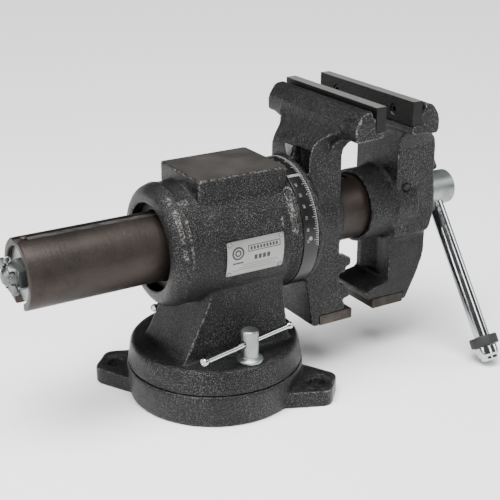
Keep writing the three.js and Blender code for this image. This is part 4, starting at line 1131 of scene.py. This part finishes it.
def make_pad(node, body):
    low, high = span(node)
    r = 1.4
    outline = rounded([(low.x, low.z, r), (high.x, low.z, r), (high.x, high.z, r), (low.x, high.z, r)], True)
    pad = prism(node + "_ground", outline, (0, low.y, 0), EDGE_ON, high.y - low.y)
    middle = ((low.x + high.x) / 2, 0, low.z)
    sink = [(0, -1), (SINK_R, -1), (SINK_R, SINK_DEEP), (SHANK_R, SINK_DEEP), (SHANK_R, 30), (0, 30)]
    hole = turned("hole", sink, middle, UPRIGHT, 40)
    combine(pad, [hole])
    eased(pad, 0.7, 3, 50)
    finish_piece(pad, body, [PAD], [node])


# ---------------------------------------------------------------- dial, pointer and nameplate
DIAL_R, DIAL_INNER_R = 62.3, 60.6
DIAL_LINE = 30


def wrapped(points, faces, x0, x1, a0, a1, r0, r1, steps=1):
    """Adds a closed patch that follows the barrel between two places, angles and radii."""
    start = len(points)
    for i in range(steps + 1):
        angle = a0 + (a1 - a0) * i / steps
        for x, r in ((x0, r0), (x1, r0), (x1, r1), (x0, r1)):
            points.append(on_barrel(x, angle, r))
    for i in range(steps):
        base = start + 4 * i
        for j in range(4):
            k = (j + 1) % 4
            faces.append((base + j, base + k, base + 4 + k, base + 4 + j))
    faces.append(tuple(start + j for j in range(4)))
    faces.append(tuple(start + 4 * steps + j for j in range(4)))


def make_dial():
    low, high = span("dial_band")
    x0, x1 = low.x, high.x
    band = turned("dial_band_enamelled", rounded([
        (DIAL_INNER_R, x1), (DIAL_INNER_R, x0), (DIAL_R, x0, 0.4), (DIAL_R, x1, 0.4), (DIAL_INNER_R, x1)]),
        SPINDLE_LINE, ALONG_X, 160)
    finish_piece(band, "turntable", [DIAL], ["dial_band"])
    points, faces = [], []
    ink = (DIAL_R - 0.05, DIAL_R + 0.12)
    last = 96
    rad = math.radians
    wrapped(points, faces, x1 - 0.9, x1 - 0.25, rad(-last), rad(last), *ink, steps=120)
    for degree in range(-last + 2, last, 2):
        long = 4.6 if degree % 10 == 0 else 2.6
        half = 0.34 / DIAL_R
        wrapped(points, faces, x1 - 0.6 - long, x1 - 0.5, rad(degree) - half, rad(degree) + half, *ink)
    half = 1.5 / DIAL_R
    wrapped(points, faces, x0 + 0.6, x1 - 1.6, rad(DIAL_LINE) - half, rad(DIAL_LINE) + half, *ink, steps=2)
    marks = raw("dial_marks", points, faces)
    dots = [turned("dot", [(0, DIAL_R - 0.1), (1.9, DIAL_R - 0.1), (1.9, DIAL_R + 0.2), (0, DIAL_R + 0.25)],
                   (x0 + 6.6, 0, AXIS_Z), (0, -math.sin(rad(88)), math.cos(rad(88))), 24)]
    for degree in range(-90, 91, 10):
        if degree != DIAL_LINE:
            dots.append(numeral(str(abs(degree)), x0 + 2.2, rad(degree)))
    marks = join_pieces("dial_marks", [marks] + dots)
    finish_piece(marks, "turntable", [DIAL_MARK])


def numeral(text, x, angle):
    """A number laid on the dial, its foot towards the ticks."""
    curve = bpy.data.curves.new("numeral", "FONT")
    curve.body = text
    curve.size = 3.6
    curve.extrude = 0.08
    curve.resolution_u = 3
    curve.align_x = "CENTER"
    letter = placed("numeral", curve)
    mesh = shape_of(letter)
    bpy.data.objects.remove(letter)
    for vertex in mesh.vertices:
        u, v, w = vertex.co
        vertex.co = on_barrel(x + 3.2 - v, angle - u / DIAL_R, DIAL_R + 0.02 + w) * MM
    return placed("numeral", mesh)


def make_pointer():
    low, high = span("dial_pointer")
    tip, top = 2.7, 6.2
    outline = rounded([(-tip, low.z, 0.6), (tip, low.z, 0.6), (top, high.z, 0.8), (-top, high.z, 0.8)], True)
    pointer = prism("dial_pointer_plate", outline, (low.x, 0, 0), ((0, 1, 0), (0, 0, 1), (1, 0, 0)),
                    high.x - low.x)
    eased(pointer, 0.25, 2, 50)
    finish_piece(pointer, "static_head", [PLATE], ["dial_pointer"])


def make_nameplate():
    low, high = span("nameplate")
    r0, r1 = BARREL_R + 0.3, BARREL_R + 1.2
    corner = 1.2
    columns, rows = 48, 30
    points, faces = [], []

    def height_angle(z):
        return math.pi / 2 - math.asin(max(-1, min(1, (z - AXIS_Z) / r1)))

    a_top, a_low = height_angle(high.z - 0.3), height_angle(low.z + 0.3)
    for radius in (r0, r1):
        for i in range(columns + 1):
            x = low.x + (high.x - low.x) * i / columns
            inset = 0
            edge = min(x - low.x, high.x - x)
            if edge < corner:
                inset = (corner - math.sqrt(max(0, corner ** 2 - (corner - edge) ** 2))) / r1
            for j in range(rows + 1):
                angle = a_top + inset + (a_low - a_top - 2 * inset) * j / rows
                points.append(on_barrel(x, angle, radius))
    layer = (columns + 1) * (rows + 1)
    for i in range(columns):
        for j in range(rows):
            a = i * (rows + 1) + j
            quad = (a, a + 1, a + rows + 2, a + rows + 1)
            faces += [quad, tuple(layer + k for k in quad)]
    for i in range(columns):
        for j in (0, rows):
            a, b = i * (rows + 1) + j, (i + 1) * (rows + 1) + j
            faces.append((a, b, layer + b, layer + a))
    for j in range(rows):
        for i in (0, columns):
            a = i * (rows + 1) + j
            faces.append((a, a + 1, layer + a + 1, layer + a))
    plate = raw("nameplate_sheet", points, faces)
    eased(plate, 0.2, 2, 50)
    finish_piece(plate, "turntable", [PLATE], ["nameplate"])
    make_plate_print(low, high, a_top, a_low, r1)
    for i in range(1, 5):
        rivet_low, rivet_high = span(f"nameplate_rivet_{i}")
        centre = (rivet_low + rivet_high) / 2
        angle = math.atan2(-centre.y, centre.z - AXIS_Z)
        way = Vector((0, -math.sin(angle), math.cos(angle)))
        dome = turned(f"nameplate_rivet_{i}_domed", rounded([
            (0, BARREL_R + 0.4), (0.8, BARREL_R + 0.4), (0.8, r1), (1.95, r1, 0.1), (1.8, r1 + 0.5, 0.5),
            (0.9, r1 + 0.75, 0.5), (0, r1 + 0.8)]), (centre.x, 0, AXIS_Z), way, 32)
        finish_piece(dome, "turntable", [PLATE], [f"nameplate_rivet_{i}"])


def make_plate_print(low, high, a_top, a_low, r1):
    """Plain printing: two rings for a mark, short bars in place of lettering, fine rules, rivet rings."""
    points, faces = [], []
    ink = (r1 - 0.05, r1 + 0.07)
    length, tall = high.x - low.x, a_low - a_top

    def bar(u0, u1, v0, v1, steps=4):
        wrapped(points, faces, low.x + u0 * length, low.x + u1 * length, a_top + v0 * tall,
                a_top + v1 * tall, *ink, steps=steps)

    bar(0.36, 0.93, 0.17, 0.19)
    bar(0.36, 0.93, 0.33, 0.35)
    bar(0.36, 0.372, 0.17, 0.35)
    bar(0.918, 0.93, 0.17, 0.35)
    for i in range(9):
        start = 0.40 + i * 0.056
        bar(start, start + 0.034, 0.215, 0.305)
    for i in range(4):
        start = 0.47 + i * 0.075
        bar(start, start + 0.052, 0.47, 0.6)
    bar(0.1, 0.28, 0.6, 0.64)
    for row, (u0, u1) in enumerate(((0.27, 0.9), (0.2, 0.8), (0.1, 0.86))):
        bar(u0, u1, 0.70 + row * 0.07, 0.708 + row * 0.07)
    around = 40
    mark_x, mark_a = low.x + 0.185 * length, a_top + 0.34 * tall
    rings = [(mark_x, mark_a, 4.6, 6.2), (mark_x, mark_a, 1.8, 3.2)]
    for i in range(1, 5):
        rivet_low, rivet_high = span(f"nameplate_rivet_{i}")
        rivet = (rivet_low + rivet_high) / 2
        rings.append((rivet.x, math.atan2(-rivet.y, rivet.z - AXIS_Z), 1.9, 2.35))
    for centre_x, centre_a, inner, outer in rings:
        start = len(points)
        for i in range(around):
            turn = 2 * math.pi * i / around
            for size, radius in ((inner, ink[0]), (outer, ink[0]), (outer, ink[1]), (inner, ink[1])):
                points.append(on_barrel(centre_x + size * math.cos(turn),
                                        centre_a + size * math.sin(turn) / r1, radius))
        for i in range(around):
            a, b = start + 4 * i, start + 4 * ((i + 1) % around)
            faces.extend((a + j, a + (j + 1) % 4, b + (j + 1) % 4, b + j) for j in range(4))
    print_layer = raw("nameplate_print", points, faces)
    finish_piece(print_layer, "turntable", [INK])


# ---------------------------------------------------------------- hidden and small parts
def finish_hidden():
    """Nodes that keep their CAD mesh get a finish of their own; the cross pin is turned anew."""
    kept = {"swivel_pin": PAD, "brake_shoe": BRONZE, "near_clamp_nut": PAD, "far_clamp_nut": PAD,
            "neck_ring": BORE_IRON, "tube_key": PAD, "spindle_nut": BRONZE, "spindle_nut_bolt": ZINC,
            "static_pad_screw": ZINC, "moving_pad_screw": ZINC}
    for node, material in kept.items():
        materials = NODES[node].data.materials
        if not materials:
            materials.append(material)
        for index in range(len(materials)):
            materials[index] = material
    low, high = span("tube_pin")
    pin = turned("tube_pin_ground", rounded([
        (0, low.y), (3.2, low.y, 0.3), (4, low.y + 0.8, 0.3), (4, high.y - 0.8, 0.3), (3.2, high.y, 0.3),
        (0, high.y)]), ((low.x + high.x) / 2, 0, (low.z + high.z) / 2), (0, 1, 0), 40)
    finish_piece(pin, "moving_head", [ENAMEL], ["tube_pin"])


set_camera()
set_stage()
make_castings()
make_tube()
make_rear_end()
make_spindle()
make_handle()
make_clamps()
make_insert("static_insert", 1, "static_head")
make_insert("moving_insert", -1, "moving_head")
make_pad("static_pipe_pad", "static_head")
make_pad("moving_pipe_pad", "moving_head")
make_dial()
make_pointer()
make_nameplate()
finish_hidden()
